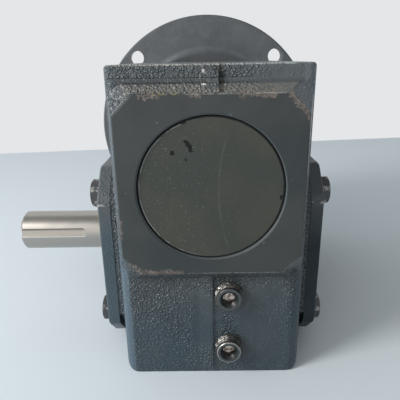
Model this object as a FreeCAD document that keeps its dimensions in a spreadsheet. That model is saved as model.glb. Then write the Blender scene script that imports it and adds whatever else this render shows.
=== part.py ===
import FreeCAD, Part
import math
import os
import Sketcher
from FreeCAD import Placement, Rotation, Vector

# A right-angle worm gear reducer: a hollow worm driven by a flange-mounted motor turns a bronze gear
# on the output shaft. Lengths are in millimetres and angles in degrees. +Z is up. The origin is on
# the base, under the output shaft's axis and on the middle plane of the casting. The output shaft
# points along -X, the bore plug faces -Y and the motor flange faces +Y.

driving_sizes = {
    # Gearing: 12 diametral pitch, a single-start worm and a thirty-tooth gear
    "centre_distance": 44.45,
    "shaft_height": 50.8,
    "gear_pitch_diameter": 63.5,
    "gear_teeth": 30,
    "pressure_angle": 20,
    "tooth_backlash": 0.2,
    "tooth_root_clearance": 0.53,
    "gear_face_width": 18,
    "gear_hub_diameter": 44,
    "gear_hub_width": 28,
    "gear_web_width": 10,
    "gear_rim_thickness": 3,
    "gear_tip_rise": 0.33,
    "worm_thread_length": 48,
    "worm_relief_length": 9,
    "worm_relief_step": 0.55,
    # Housing casting
    "housing_width": 84,
    "top_lip_height": 5.75,
    "side_edge_radius": 4,
    "bottom_edge_radius": 6.5,
    "top_edge_radius": 1.5,
    "pad_side_inset": 3,
    "pad_corner": 8.5,
    "pad_bottom_raise": 0.9,
    "pad_edge_chamfer": 0.5,
    "pad_root_radius": 3,
    "pad_depth": 5,
    "pad_top_slope_height": 5,
    "pad_side_run": 9.5,
    "pad_root_corner": 2,
    "rib_width": 6.4,
    "rib_crest_width": 1.2,
    "rib_height": 1,
    "rib_right_edge": 0.4,
    "rib_foot_height": 2.5,
    "top_rib_width": 5.4,
    "top_rib_crest_width": 3.5,
    "top_rib_crest_shift": 0.4,
    "top_rib_height": 2.4,
    "top_rib_drop": 2.3,
    "top_rib_edge_radius": 1,
    "top_rib_centre": 1,
    "boss_inset": 0.4,
    "boss_corner": 12.5,
    "boss_low_corner": 18,
    "boss_rise": 5.2,
    "side_wall": 9,
    "floor_thickness": 7.5,
    "top_wall": 12,
    "sump_ceiling": 4.25,
    "sump_rear_wall": 9.5,
    "sump_front_wall": 9,
    "chamber_rear_face": 36,
    "chamber_front_face": 40,
    "rear_shoulder_width": 2,
    "front_shoulder_width": 4,
    "bore_mouth_chamfer": 0.6,
    "mounting_hole_side_inset": 10.25,
    "mounting_hole_end_inset": 12.375,
    "top_hole_side_inset": 16.6,
    "mounting_hole_diameter": 7.94,
    "mounting_hole_depth": 15,
    "mounting_boss_diameter": 17,
    "mounting_boss_height": 24,
    "blind_hole_spare": 1.5,
    # Pipe plugs for oil filling and draining
    "pipe_plug_offset": 7.8,
    "upper_plug_gap": 2.15,
    "lower_plug_height": 15,
    "pipe_plug_diameter": 12.8,
    "pipe_plug_small_diameter": 12.2,
    "pipe_plug_length": 11.2,
    "pipe_plug_proud": 5.3,
    "pipe_plug_socket": 5.5,
    "pipe_plug_socket_depth": 4.4,
    "pipe_plug_socket_turn": 30,
    "pipe_plug_countersink": 7.9,
    "pipe_plug_countersink_depth": 2.6,
    "pipe_plug_edge": 0.75,
    # Bore plug at the rear end of the worm
    "bore_plug_standoff": 5.3,
    "bore_plug_recess": 1.2,
    "bore_plug_thickness": 7,
    "bore_plug_edge": 0.5,
    # Side covers
    "cover_size": 94,
    "cover_corner": 13,
    "cover_corner_radius": 6,
    "cover_thickness": 6,
    "cover_edge": 1,
    "cover_gasket_thickness": 0.4,
    "cover_register_depth": 5,
    "cover_carrier_wall": 5.5,
    "cover_hub_diameter": 58,
    "cover_hub_height": 4,
    "cover_bolt_inset": 14,
    "cover_bore_land": 8,
    "cover_pocket_gap": 0.5,
    "cover_shaft_clearance": 1.5,
    # Hexagon cover bolts
    "bolt_diameter": 7.94,
    "bolt_head_across_flats": 12.7,
    "bolt_head_height": 5,
    "bolt_crown_inset": 0.3,
    "bolt_crown_angle": 30,
    "bolt_length": 16,
    "bolt_hole_clearance": 0.23,
    # Output shaft
    "output_diameter": 22.225,
    "output_extension": 51.9,
    "output_end_chamfer": 1.2,
    "output_journal_diameter": 23.8,
    "output_journal_recess": 0.5,
    "output_journal_edge": 0.8,
    "output_seat_diameter": 25,
    "output_seat_end": 39.5,
    "output_shoulder_distance": 20,
    "gear_seat_diameter": 28,
    "output_collar_height": 3,
    "output_tail_end": 37,
    "output_key_width": 4.76,
    "output_keyway_depth": 2.4,
    "output_keyway_length": 38,
    "output_key_angle": 78,
    "gear_key_width": 6.35,
    "gear_key_height": 6.35,
    "gear_key_length": 22,
    # Worm and quill shaft
    "input_bore_diameter": 15.875,
    "input_bore_depth": 52,
    "input_key_width": 4.76,
    "input_keyway_depth": 2.4,
    "quill_end_recess": 5.3,
    "quill_diameter": 35,
    "quill_end_diameter": 30,
    "quill_step_gap": 4,
    "worm_front_collar_diameter": 41,
    "worm_rear_collar_diameter": 31,
    "worm_tail": 2.18,
    "worm_shaft_edge": 1,
    # Ball bearings. The shares are of the ball's diameter.
    "race_land_share": 0.28,
    "race_groove_share": 0.52,
    "race_edge": 0.8,
    "cage_thickness_share": 0.3,
    "cage_width_share": 1.24,
    "cage_pocket_clearance": 0.15,
    "rear_bearing_bore": 25,
    "rear_bearing_outside": 62,
    "rear_bearing_width": 17,
    "rear_bearing_ball": 11.5,
    "rear_bearing_balls": 7,
    "front_bearing_outside": 62,
    "front_bearing_width": 14,
    "front_bearing_ball": 8,
    "front_bearing_balls": 11,
    "output_bearing_outside": 52,
    "output_bearing_width": 15,
    "output_bearing_ball": 7.94,
    "output_bearing_balls": 9,
    # Retaining rings, seals and running clearances
    "bore_ring_thickness": 2,
    "bore_ring_depth": 1.6,
    "bore_ring_width": 5,
    "bore_ring_gap": 14,
    "bore_ring_lug": 5.2,
    "bore_ring_lug_hole": 2.5,
    "shaft_ring_thickness": 1.2,
    "shaft_ring_depth": 0.55,
    "shaft_ring_width": 3,
    "shaft_ring_gap": 8,
    "shaft_ring_lug": 4.4,
    "shaft_ring_lug_hole": 2,
    "output_seal_outside": 40,
    "output_seal_width": 7,
    "input_seal_outside": 52,
    "input_seal_width": 8,
    "seal_shell": 1.5,
    "seal_web": 1,
    "seal_lip_share": 0.45,
    "seal_lip_land": 0.6,
    "seal_lip_flare": 0.9,
    "seal_gap": 0.05,
    "fit_clearance": 0.02,
    "ring_side_clearance": 0.1,
    "race_shoulder": 5,
    "seat_clearance": 0.05,
    # Motor flange
    "flange_edge_distance": 7.9375,
    "flange_face_distance": 114.3,
    "flange_thickness": 11.5,
    "flange_edge": 1,
    "flange_bolt_circle": 149.225,
    "flange_bolt_hole": 11.11,
    "pilot_diameter": 114.4,
    "pilot_depth": 4.8,
    "neck_wall": 9,
    "neck_fillet": 6,
    "neck_web_thickness": 13.6,
    "input_seal_recess": 1,
    "quill_clearance": 3,
    "flange_gasket_thickness": 0.4,
    "flange_gasket_margin": 2,
    "flange_gasket_corner": 12,
    "flange_spigot_length": 2,
    "flange_spigot_wall": 7,
    "flange_screw_offset": 8,
    "screw_diameter": 7.94,
    "screw_head_diameter": 12,
    "screw_head_clearance": 1,
    "screw_head_height": 7.9,
    "screw_edge": 0.6,
    "screw_socket": 6.35,
    "screw_socket_depth": 4,
    "screw_length": 26,
}

# How far a cut or a hidden root runs past the face it starts from
overrun = 1
# Two lengths that differ by less than this are the same
tolerance = 0.01
# The cosine above which an edge counts as lying along an axis
aligned = 0.999
# The cove above the pad turns through this angle, in this many flats
cove_angle = 45
cove_facets = 4

doc = FreeCAD.newDocument("WormGearReducer")
sheet = doc.addObject("Spreadsheet::Sheet", "Sizes")


class Size:
    # A number together with the spreadsheet formula that gives it

    def __init__(self, value, formula):
        self.value = float(value)
        self.formula = formula

    def __add__(self, other):
        return Size(self.value + number(other), f"({self.formula} + {formula(other)})")

    def __sub__(self, other):
        return Size(self.value - number(other), f"({self.formula} - {formula(other)})")

    def __mul__(self, other):
        return Size(self.value * number(other), f"({self.formula} * {formula(other)})")

    def __truediv__(self, other):
        return Size(self.value / number(other), f"({self.formula} / {formula(other)})")

    def __rsub__(self, other):
        return Size(number(other) - self.value, f"({formula(other)} - {self.formula})")

    def __rmul__(self, other):
        return self * other

    def __radd__(self, other):
        return self + other

    def __rtruediv__(self, other):
        return Size(number(other) / self.value, f"({formula(other)} / {self.formula})")

    def __neg__(self):
        return Size(-self.value, f"(-1 * {self.formula})")


def number(size):
    return size.value if isinstance(size, Size) else float(size)


def formula(size):
    return size.formula if isinstance(size, Size) else f"({size})"


def sine(angle):
    return Size(math.sin(math.radians(number(angle))), f"sin({formula(angle)})")


def cosine(angle):
    return Size(math.cos(math.radians(number(angle))), f"cos({formula(angle)})")


def tangent(angle):
    return Size(math.tan(math.radians(number(angle))), f"tan({formula(angle)})")


def square_root(size):
    return Size(math.sqrt(number(size)), f"sqrt({formula(size)})")


def rounded_up(size):
    return Size(math.ceil(number(size)), f"ceil({formula(size)})")


class SizeSheet:
    # Writes the driving sizes to the spreadsheet and gives each one back by its name

    def __init__(self, values):
        for row, (name, value) in enumerate(values.items(), start=1):
            sheet.set(f"A{row}", name)
            sheet.set(f"B{row}", str(value))
            sheet.setAlias(f"B{row}", name)
            setattr(self, name, Size(value, f"Sizes.{name}"))


s = SizeSheet(driving_sizes)
doc.recompute()

# Heights, distances and diameters that follow from the driving sizes
worm_height = s.shaft_height + s.centre_distance
rear_bearing_start = s.chamber_rear_face + s.rear_shoulder_width
rear_bearing_end = rear_bearing_start + s.rear_bearing_width
front_bearing_start = s.chamber_front_face + s.front_shoulder_width
front_bearing_end = front_bearing_start + s.front_bearing_width
plug_inner_distance = rear_bearing_end + s.bore_plug_standoff
plug_outer_distance = plug_inner_distance + s.bore_plug_thickness
pad_face_distance = plug_outer_distance + s.bore_plug_recess
rear_wall_distance = pad_face_distance - s.pad_depth
front_face_distance = front_bearing_end + s.flange_spigot_length
pad_size = s.housing_width - 2 * s.pad_side_inset
pad_bottom = worm_height - pad_size / 2 + s.pad_bottom_raise
pad_top = worm_height + pad_size / 2
pad_height = pad_top - pad_bottom
pad_middle = (pad_top + pad_bottom) / 2
housing_height = pad_top + s.pad_top_slope_height + s.top_lip_height
boss_face_distance = s.housing_width / 2 + s.boss_rise
boss_size = s.cover_size - 2 * s.boss_inset
side_bore_diameter = s.cover_size - 2 * s.cover_bore_land
cover_bolt_step = s.cover_size / 2 - s.cover_bolt_inset
mounting_step_across = s.housing_width / 2 - s.mounting_hole_side_inset
mounting_step_along = front_face_distance - s.mounting_hole_end_inset
top_step_across = s.housing_width / 2 - s.top_hole_side_inset
sump_height = worm_height - s.rear_bearing_outside / 2 - s.sump_ceiling
upper_plug_height = (
    pad_bottom - s.pad_top_slope_height - s.pipe_plug_diameter / 2 - s.upper_plug_gap
)
module = s.gear_pitch_diameter / s.gear_teeth
worm_pitch_diameter = 2 * s.centre_distance - s.gear_pitch_diameter
worm_diameter = worm_pitch_diameter + 2 * module
worm_root_diameter = worm_pitch_diameter - 2 * (module + s.tooth_root_clearance)
worm_relief_diameter = worm_root_diameter - 2 * s.worm_relief_step
output_collar_diameter = s.gear_seat_diameter + 2 * s.output_collar_height
gear_root_radius = s.gear_pitch_diameter / 2 - module - s.tooth_root_clearance
gear_throat_radius = s.gear_pitch_diameter / 2 + module
gear_outside_radius = gear_throat_radius + s.gear_tip_rise
worm_lead = math.pi * module
adapter_face_distance = front_face_distance + s.flange_gasket_thickness
flange_rear_distance = s.flange_face_distance - s.flange_thickness
web_face_distance = adapter_face_distance + s.neck_web_thickness
flange_diameter = s.flange_bolt_circle + 2 * s.flange_edge_distance
flange_screw_circle = s.front_bearing_outside + 2 * s.flange_screw_offset
neck_inner_diameter = flange_screw_circle + s.screw_head_diameter + 2 * s.screw_head_clearance
neck_diameter = neck_inner_diameter + 2 * s.neck_wall
quill_end_distance = s.flange_face_distance - s.quill_end_recess
quill_step_distance = web_face_distance + s.quill_step_gap
cover_face_distance = boss_face_distance + s.cover_gasket_thickness
cover_outer_distance = cover_face_distance + s.cover_thickness
hub_face_distance = cover_outer_distance + s.cover_hub_height
output_end_distance = hub_face_distance + s.output_extension
bolt_hole_diameter = s.bolt_diameter + 2 * s.bolt_hole_clearance
screw_hole_diameter = s.screw_diameter + 2 * s.bolt_hole_clearance


def bind(item, name, size):
    if isinstance(size, Size):
        item.setExpression(name, size.formula)
    elif "." not in name:
        setattr(item, name, size)


def place(item, axis):
    # Turned pieces are drawn along their own X axis. This puts that axis on the output shaft's axis,
    # pointing right or left, or on the worm's axis, pointing at the motor.
    turn = {"output": 0, "output_left": 180, "worm": 90}[axis]
    height = worm_height if axis == "worm" else s.shaft_height
    item.Placement = Placement(Vector(0, 0, height.value), Rotation(Vector(0, 0, 1), turn))
    bind(item, "Placement.Base.z", height)


def new_body(label):
    body = doc.addObject("PartDesign::Body", label.title().replace("_", ""))
    body.Label = label
    return body


def origin_feature(body, role):
    return next(item for item in body.Origin.OriginFeatures if item.Role == role)


def new_sketch(body, plane, distance=0, turn=0):
    sketch = body.newObject("Sketcher::SketchObject", f"{body.Name}Sketch")
    sketch.AttachmentSupport = [(origin_feature(body, plane), "")]
    sketch.MapMode = "FlatFace"
    shift = Vector(0, 0, number(distance))
    sketch.AttachmentOffset = Placement(shift, Rotation(Vector(0, 0, 1), number(turn)))
    bind(sketch, "AttachmentOffset.Base.z", distance)
    bind(sketch, "AttachmentOffset.Rotation.Angle", turn)
    return sketch


def fix_coordinate(sketch, kind, item, point, size):
    if not isinstance(size, Size) and size == 0:
        axis = -2 if kind == "DistanceX" else -1
        sketch.addConstraint(Sketcher.Constraint("PointOnObject", item, point, axis))
        return
    index = sketch.addConstraint(Sketcher.Constraint(kind, -1, 1, item, point, number(size)))
    bind(sketch, f"Constraints[{index}]", size)


def draw_polygon(sketch, corners):
    spots = [Vector(number(x), number(y), 0) for x, y in corners]
    first = sketch.GeometryCount
    count = len(corners)
    for index, spot in enumerate(spots):
        sketch.addGeometry(Part.LineSegment(spot, spots[(index + 1) % count]))
    for index, (x, y) in enumerate(corners):
        following = first + (index + 1) % count
        sketch.addConstraint(Sketcher.Constraint("Coincident", first + index, 2, following, 1))
        fix_coordinate(sketch, "DistanceX", first + index, 1, x)
        fix_coordinate(sketch, "DistanceY", first + index, 1, y)


def draw_rectangle(sketch, left, right, bottom, top):
    draw_polygon(sketch, [(left, bottom), (right, bottom), (right, top), (left, top)])


def draw_circle(sketch, x, y, radius):
    middle = Vector(number(x), number(y), 0)
    item = sketch.addGeometry(Part.Circle(middle, Vector(0, 0, 1), number(radius)))
    fix_coordinate(sketch, "DistanceX", item, 3, x)
    fix_coordinate(sketch, "DistanceY", item, 3, y)
    index = sketch.addConstraint(Sketcher.Constraint("Radius", item, number(radius)))
    bind(sketch, f"Constraints[{index}]", radius)


def draw_low_corner(sketch, side, across, radius):
    # What a rounded lower corner leaves out: side is 1 for the right corner and -1 for the left one
    x = side * (across - radius)
    middle = Vector(number(x), number(radius), 0)
    start, end = (1.5, 2) if side > 0 else (1, 1.5)
    line = Part.Circle(middle, Vector(0, 0, 1), number(radius))
    arc = sketch.addGeometry(Part.ArcOfCircle(line, start * math.pi, end * math.pi))
    low_point, side_point = (1, 2) if side > 0 else (2, 1)
    fix_coordinate(sketch, "DistanceX", arc, 3, x)
    fix_coordinate(sketch, "DistanceY", arc, 3, radius)
    index = sketch.addConstraint(Sketcher.Constraint("Radius", arc, number(radius)))
    bind(sketch, f"Constraints[{index}]", radius)
    fix_coordinate(sketch, "DistanceX", arc, low_point, x)
    fix_coordinate(sketch, "DistanceY", arc, side_point, radius)
    outside = side * (across + overrun)
    corners = [(x, -radius), (outside, -radius), (outside, radius)]
    line_ends = [(x, 0), *corners, (side * across, radius)]
    spots = [Vector(number(spot_x), number(spot_y), 0) for spot_x, spot_y in line_ends]
    first = sketch.GeometryCount
    for spot, following in zip(spots, spots[1:]):
        sketch.addGeometry(Part.LineSegment(spot, following))
    sketch.addConstraint(Sketcher.Constraint("Coincident", arc, low_point, first, 1))
    for index, (corner_x, corner_y) in enumerate(corners, start=first):
        sketch.addConstraint(Sketcher.Constraint("Coincident", index, 2, index + 1, 1))
        fix_coordinate(sketch, "DistanceX", index, 2, corner_x)
        fix_coordinate(sketch, "DistanceY", index, 2, corner_y)
    last = first + len(corners)
    sketch.addConstraint(Sketcher.Constraint("Coincident", last, 2, arc, side_point))


def octagon(width, height, corner, middle_height=0, low_corner=None):
    half_width = width / 2
    half_height = height / 2
    low = middle_height - half_height
    high = middle_height + half_height
    low_corner = low_corner or corner
    return [
        (low_corner - half_width, low),
        (half_width - low_corner, low),
        (half_width, low + low_corner),
        (half_width, high - corner),
        (half_width - corner, high),
        (corner - half_width, high),
        (-half_width, high - corner),
        (-half_width, low + low_corner),
    ]


def hexagon(across_flats):
    radius = across_flats / 2 / cosine(30)
    return [(radius * cosine(60 * step), radius * sine(60 * step)) for step in range(6)]


def add_pad(body, sketch, length, symmetric=False, reverse=False):
    feature = body.newObject("PartDesign::Pad", f"{body.Name}Pad")
    feature.Profile = sketch
    bind(feature, "Length", length)
    feature.SideType = "Symmetric" if symmetric else "One side"
    feature.Reversed = reverse
    return feature


def add_pocket(body, sketch, length=None, symmetric=False, reverse=False):
    feature = body.newObject("PartDesign::Pocket", f"{body.Name}Pocket")
    feature.Profile = sketch
    if length is None:
        feature.Type = "ThroughAll"
    else:
        bind(feature, "Length", length)
    feature.SideType = "Symmetric" if symmetric else "One side"
    feature.Reversed = reverse
    return feature


def add_turned(body, corners, kind="Revolution"):
    # Corners are (distance along the body's X axis, radius)
    sketch = new_sketch(body, "XZ_Plane")
    draw_polygon(sketch, corners)
    feature = body.newObject(f"PartDesign::{kind}", f"{body.Name}{kind}")
    feature.Profile = sketch
    feature.ReferenceAxis = (sketch, ["H_Axis"])
    feature.Angle = 360
    return feature


def add_groove(body, corners):
    return add_turned(body, corners, "Groove")


def add_round_groove(body, along, across, radius):
    sketch = new_sketch(body, "XZ_Plane")
    draw_circle(sketch, along, across, radius)
    feature = body.newObject("PartDesign::Groove", f"{body.Name}Groove")
    feature.Profile = sketch
    feature.ReferenceAxis = (sketch, ["H_Axis"])
    feature.Angle = 360
    return feature


def add_polar_pattern(body, feature, count):
    pattern = body.newObject("PartDesign::PolarPattern", f"{body.Name}Pattern")
    pattern.Originals = [feature]
    pattern.Axis = (origin_feature(body, "X_Axis"), [""])
    pattern.Angle = 360
    bind(pattern, "Occurrences", count)
    body.Tip = pattern
    return pattern


def add_edge_finish(body, kind, size_name, size, chosen):
    doc.recompute()
    base = body.Tip
    names = [f"Edge{n}" for n, edge in enumerate(base.Shape.Edges, start=1) if chosen(edge)]
    feature = body.newObject(f"PartDesign::{kind}", f"{body.Name}{kind}")
    feature.Base = (base, names)
    bind(feature, size_name, size)
    return feature


def add_fillet(body, radius, chosen):
    return add_edge_finish(body, "Fillet", "Radius", radius, chosen)


def add_chamfer(body, size, chosen):
    return add_edge_finish(body, "Chamfer", "Size", size, chosen)


def along_axis(edge, axis):
    if not isinstance(edge.Curve, (Part.Line, Part.LineSegment)):
        return False
    ends = [vertex.Point for vertex in edge.Vertexes]
    return abs((ends[1] - ends[0]).normalize().dot(axis)) > aligned


def near(value, target):
    return abs(value - number(target)) < tolerance


def group(label, items, axis=None):
    compound = doc.addObject("Part::Compound", label.title().replace("_", ""))
    compound.Label = label
    compound.Links = items
    if axis:
        place(compound, axis)
    return compound


def make_housing():
    body = new_body("housing")
    half_width = s.housing_width / 2
    block = new_sketch(body, "XY_Plane")
    draw_rectangle(block, -half_width, half_width, -rear_wall_distance, front_face_distance)
    add_pad(body, block, housing_height)
    z_way = Vector(0, 0, 1)
    add_fillet(body, s.side_edge_radius, lambda edge: along_axis(edge, z_way))
    add_fillet(body, s.top_edge_radius, lambda edge: near(edge.BoundBox.ZMin, housing_height))
    low_corners = new_sketch(body, "XZ_Plane", rear_wall_distance + overrun)
    for side in (-1, 1):
        draw_low_corner(low_corners, side, half_width, s.bottom_edge_radius)
    add_pocket(body, low_corners, rear_wall_distance + front_face_distance + 2 * overrun)

    # Raised faces for the two side covers
    boss = new_sketch(body, "YZ_Plane")
    boss_line = octagon(boss_size, boss_size, s.boss_corner, s.shaft_height, s.boss_low_corner)
    draw_polygon(boss, boss_line)
    add_pad(body, boss, 2 * boss_face_distance, symmetric=True)

    # Rear pad round the plugged bore, with a sloping shoulder
    face = new_sketch(body, "XZ_Plane", pad_face_distance)
    draw_polygon(face, octagon(pad_size, pad_height, s.pad_corner, pad_middle))
    root = new_sketch(body, "XZ_Plane", pad_face_distance - s.pad_side_run)
    slope = s.pad_top_slope_height / s.pad_depth
    root_height = pad_height + 2 * s.pad_side_run * slope
    draw_polygon(root, octagon(s.housing_width, root_height, s.pad_root_corner, pad_middle))
    loft = body.newObject("PartDesign::AdditiveLoft", "HousingPadLoft")
    loft.Profile = face
    loft.Sections = [root]
    loft.Ruled = True
    add_chamfer(
        body,
        s.pad_edge_chamfer,
        lambda edge: near(edge.BoundBox.YMin, -pad_face_distance)
        and near(edge.BoundBox.YMax, -pad_face_distance),
    )

    # Cove where the pad's upper slope meets the rear wall
    cove = new_sketch(body, "YZ_Plane")
    cove_line = [(overrun - rear_wall_distance, pad_top)]
    cove_middle = pad_top + s.pad_top_slope_height + s.pad_root_radius * tangent(cove_angle / 2)
    for step in range(cove_facets + 1):
        turn = cove_angle * (cove_facets - step) / cove_facets
        cove_line.append(
            (
                s.pad_root_radius * (cosine(turn) - 1) - rear_wall_distance,
                cove_middle - s.pad_root_radius * sine(turn),
            )
        )
    cove_line.append((overrun - rear_wall_distance, cove_middle))
    draw_polygon(cove, cove_line)
    add_pad(body, cove, s.housing_width - 2 * s.side_edge_radius, symmetric=True)

    # Casting rib down the middle of the rear wall, and its stub above the pad
    rib = new_sketch(body, "XY_Plane", s.rib_foot_height)
    crest = -rear_wall_distance - s.rib_height
    inside = overrun - rear_wall_distance
    rib_left = s.rib_right_edge - s.rib_width
    rib_line = [
        (rib_left, inside),
        (rib_left, -rear_wall_distance),
        (s.rib_right_edge - s.rib_crest_width, crest),
        (s.rib_right_edge, crest),
        (s.rib_right_edge, inside),
    ]
    draw_polygon(rib, rib_line)
    add_pad(body, rib, pad_bottom - s.rib_foot_height)
    stub = new_sketch(body, "XY_Plane", pad_top)
    stub_crest = -rear_wall_distance - s.top_rib_height
    half_stub = s.top_rib_width / 2
    crest_middle = s.top_rib_centre + s.top_rib_crest_shift
    stub_line = [
        (s.top_rib_centre - half_stub, inside),
        (s.top_rib_centre - half_stub, -rear_wall_distance),
        (crest_middle - s.top_rib_crest_width / 2, stub_crest),
        (crest_middle + s.top_rib_crest_width / 2, stub_crest),
        (s.top_rib_centre + half_stub, -rear_wall_distance),
        (s.top_rib_centre + half_stub, inside),
    ]
    draw_polygon(stub, stub_line)
    stub_top = housing_height - s.top_rib_drop
    add_pad(body, stub, stub_top - pad_top)
    add_fillet(
        body,
        s.top_rib_edge_radius,
        lambda edge: near(edge.BoundBox.ZMin, stub_top)
        and near(edge.BoundBox.YMin, -rear_wall_distance - s.top_rib_height),
    )

    # Gear chamber above an oil sump
    chamber = new_sketch(body, "YZ_Plane")
    sump_rear = s.sump_rear_wall - rear_wall_distance
    sump_front = front_face_distance - s.sump_front_wall
    chamber_line = [
        (sump_rear, s.floor_thickness),
        (sump_front, s.floor_thickness),
        (sump_front, sump_height),
        (s.chamber_front_face, sump_height),
        (s.chamber_front_face, housing_height - s.top_wall),
        (-s.chamber_rear_face, housing_height - s.top_wall),
        (-s.chamber_rear_face, sump_height),
        (sump_rear, sump_height),
    ]
    draw_polygon(chamber, chamber_line)
    add_pocket(body, chamber, s.housing_width - 2 * s.side_wall, symmetric=True)

    # Bosses in the sump round the base's tapped holes
    posts = new_sketch(body, "XY_Plane", s.floor_thickness / 2)
    for x in (-mounting_step_across, mounting_step_across):
        for y in (-mounting_step_along, mounting_step_along):
            draw_circle(posts, x, y, s.mounting_boss_diameter / 2)
    add_pad(body, posts, s.mounting_boss_height - s.floor_thickness / 2)
    hole_rows = ((0, mounting_step_across, True), (housing_height, top_step_across, False))
    for height, step_across, reverse in hole_rows:
        holes = new_sketch(body, "XY_Plane", height)
        for x in (-step_across, step_across):
            for y in (-mounting_step_along, mounting_step_along):
                draw_circle(holes, x, y, s.mounting_hole_diameter / 2)
        add_pocket(body, holes, s.mounting_hole_depth, reverse=reverse)

    # Side bores that the gear goes in through, and the cover bolts' holes
    side_bore = new_sketch(body, "YZ_Plane")
    draw_circle(side_bore, 0, s.shaft_height, side_bore_diameter / 2)
    add_pocket(body, side_bore, 2 * (boss_face_distance + overrun), symmetric=True)
    for side, reverse in ((1, False), (-1, True)):
        bolt_holes = new_sketch(body, "YZ_Plane", side * boss_face_distance)
        for y in (-cover_bolt_step, cover_bolt_step):
            for z in (s.shaft_height - cover_bolt_step, s.shaft_height + cover_bolt_step):
                draw_circle(bolt_holes, y, z, s.bolt_diameter / 2 + s.seat_clearance)
        bolt_reach = s.bolt_length - s.cover_thickness - s.cover_gasket_thickness
        add_pocket(body, bolt_holes, bolt_reach + s.blind_hole_spare, reverse=reverse)

    # Worm bore: a bearing pocket at each end, with a shoulder before the chamber, and the groove of
    # the bore's retaining ring
    rear_radius = s.rear_bearing_outside / 2
    front_radius = s.front_bearing_outside / 2
    shoulder = rear_radius - s.race_shoulder
    ring_start = rear_bearing_end + s.fit_clearance
    ring_end = ring_start + s.bore_ring_thickness + s.ring_side_clearance
    ring_radius = rear_radius + s.bore_ring_depth
    rear_reach = pad_face_distance - s.chamber_rear_face + overrun
    front_reach = front_face_distance - s.chamber_front_face + overrun
    worm_bore = [
        (pad_face_distance, rear_radius, pad_face_distance - rear_bearing_start, False),
        (pad_face_distance, shoulder, rear_reach, False),
        (-front_face_distance, front_radius, front_face_distance - front_bearing_start, True),
        (-front_face_distance, shoulder, front_reach, True),
        (ring_end, ring_radius, ring_end - ring_start, False),
    ]
    for distance, radius, depth, reverse in worm_bore:
        circle = new_sketch(body, "XZ_Plane", distance)
        draw_circle(circle, 0, worm_height, radius)
        add_pocket(body, circle, depth, reverse=reverse)
    add_chamfer(
        body,
        s.bore_mouth_chamfer,
        lambda edge: isinstance(edge.Curve, Part.Circle)
        and near(edge.Curve.Radius, rear_radius)
        and near(edge.CenterOfMass.y, -pad_face_distance),
    )

    # Pipe plug holes through the rear wall, and the motor flange's screw holes in the front face
    for height in (upper_plug_height, s.lower_plug_height):
        hole = new_sketch(body, "XZ_Plane", rear_wall_distance + s.rib_height + overrun)
        draw_circle(hole, s.pipe_plug_offset, height, s.pipe_plug_diameter / 2 + s.seat_clearance)
        add_pocket(body, hole, s.sump_rear_wall + s.rib_height + 2 * overrun)
    screw_holes = new_sketch(body, "XZ_Plane", -front_face_distance)
    screw_step = flange_screw_circle / 2 * sine(45)
    for x in (-screw_step, screw_step):
        for z in (worm_height - screw_step, worm_height + screw_step):
            draw_circle(screw_holes, x, z, s.screw_diameter / 2 + s.seat_clearance)
    screw_reach = s.screw_length - s.neck_web_thickness - s.flange_gasket_thickness
    add_pocket(body, screw_holes, screw_reach + s.blind_hole_spare, reverse=True)
    return body


def make_bore_plug():
    body = new_body("bore_plug")
    radius = s.rear_bearing_outside / 2 - s.seat_clearance
    outer = -plug_outer_distance
    inner = -plug_inner_distance
    edge = s.bore_plug_edge
    add_turned(
        body,
        [(inner, 0), (inner, radius), (outer + edge, radius), (outer, radius - edge), (outer, 0)],
    )
    place(body, "worm")
    return body


def make_retaining_ring(label, inner_radius, width, thickness, gap, lug_radius, lug, lug_hole):
    # An open ring with a lug beside each end of its gap. The pliers' pins go in the lugs' holes.
    body = new_body(label)
    outer_radius = inner_radius + width
    start = -(rear_bearing_end + s.seat_clearance + thickness)
    end = start + thickness
    add_turned(
        body,
        [(start, inner_radius), (end, inner_radius), (end, outer_radius), (start, outer_radius)],
    )
    opening = new_sketch(body, "YZ_Plane", start - overrun)
    draw_rectangle(opening, -gap / 2, gap / 2, 0, outer_radius + overrun)
    add_pocket(body, opening, thickness + 2 * overrun, reverse=True)
    lug_across = gap / 2
    lug_up = square_root(lug_radius * lug_radius - lug_across * lug_across)
    lugs = new_sketch(body, "YZ_Plane", start)
    lug_holes = new_sketch(body, "YZ_Plane", start)
    for across in (-lug_across, lug_across):
        draw_circle(lugs, across, lug_up, lug / 2)
        draw_circle(lug_holes, across, lug_up, lug_hole / 2)
    add_pad(body, lugs, thickness)
    add_pocket(body, lug_holes, thickness + overrun, reverse=True)
    place(body, "worm")
    return body


def make_bore_ring():
    outer_radius = s.rear_bearing_outside / 2 + s.bore_ring_depth - s.seat_clearance
    inner_radius = outer_radius - s.bore_ring_width
    return make_retaining_ring(
        "bore_retaining_ring",
        inner_radius,
        s.bore_ring_width,
        s.bore_ring_thickness,
        s.bore_ring_gap,
        inner_radius,
        s.bore_ring_lug,
        s.bore_ring_lug_hole,
    )


def make_shaft_ring():
    inner_radius = s.rear_bearing_bore / 2 - s.shaft_ring_depth + s.seat_clearance
    return make_retaining_ring(
        "worm_retaining_ring",
        inner_radius,
        s.shaft_ring_width,
        s.shaft_ring_thickness,
        s.shaft_ring_gap,
        inner_radius + s.shaft_ring_width,
        s.shaft_ring_lug,
        s.shaft_ring_lug_hole,
    )


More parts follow.
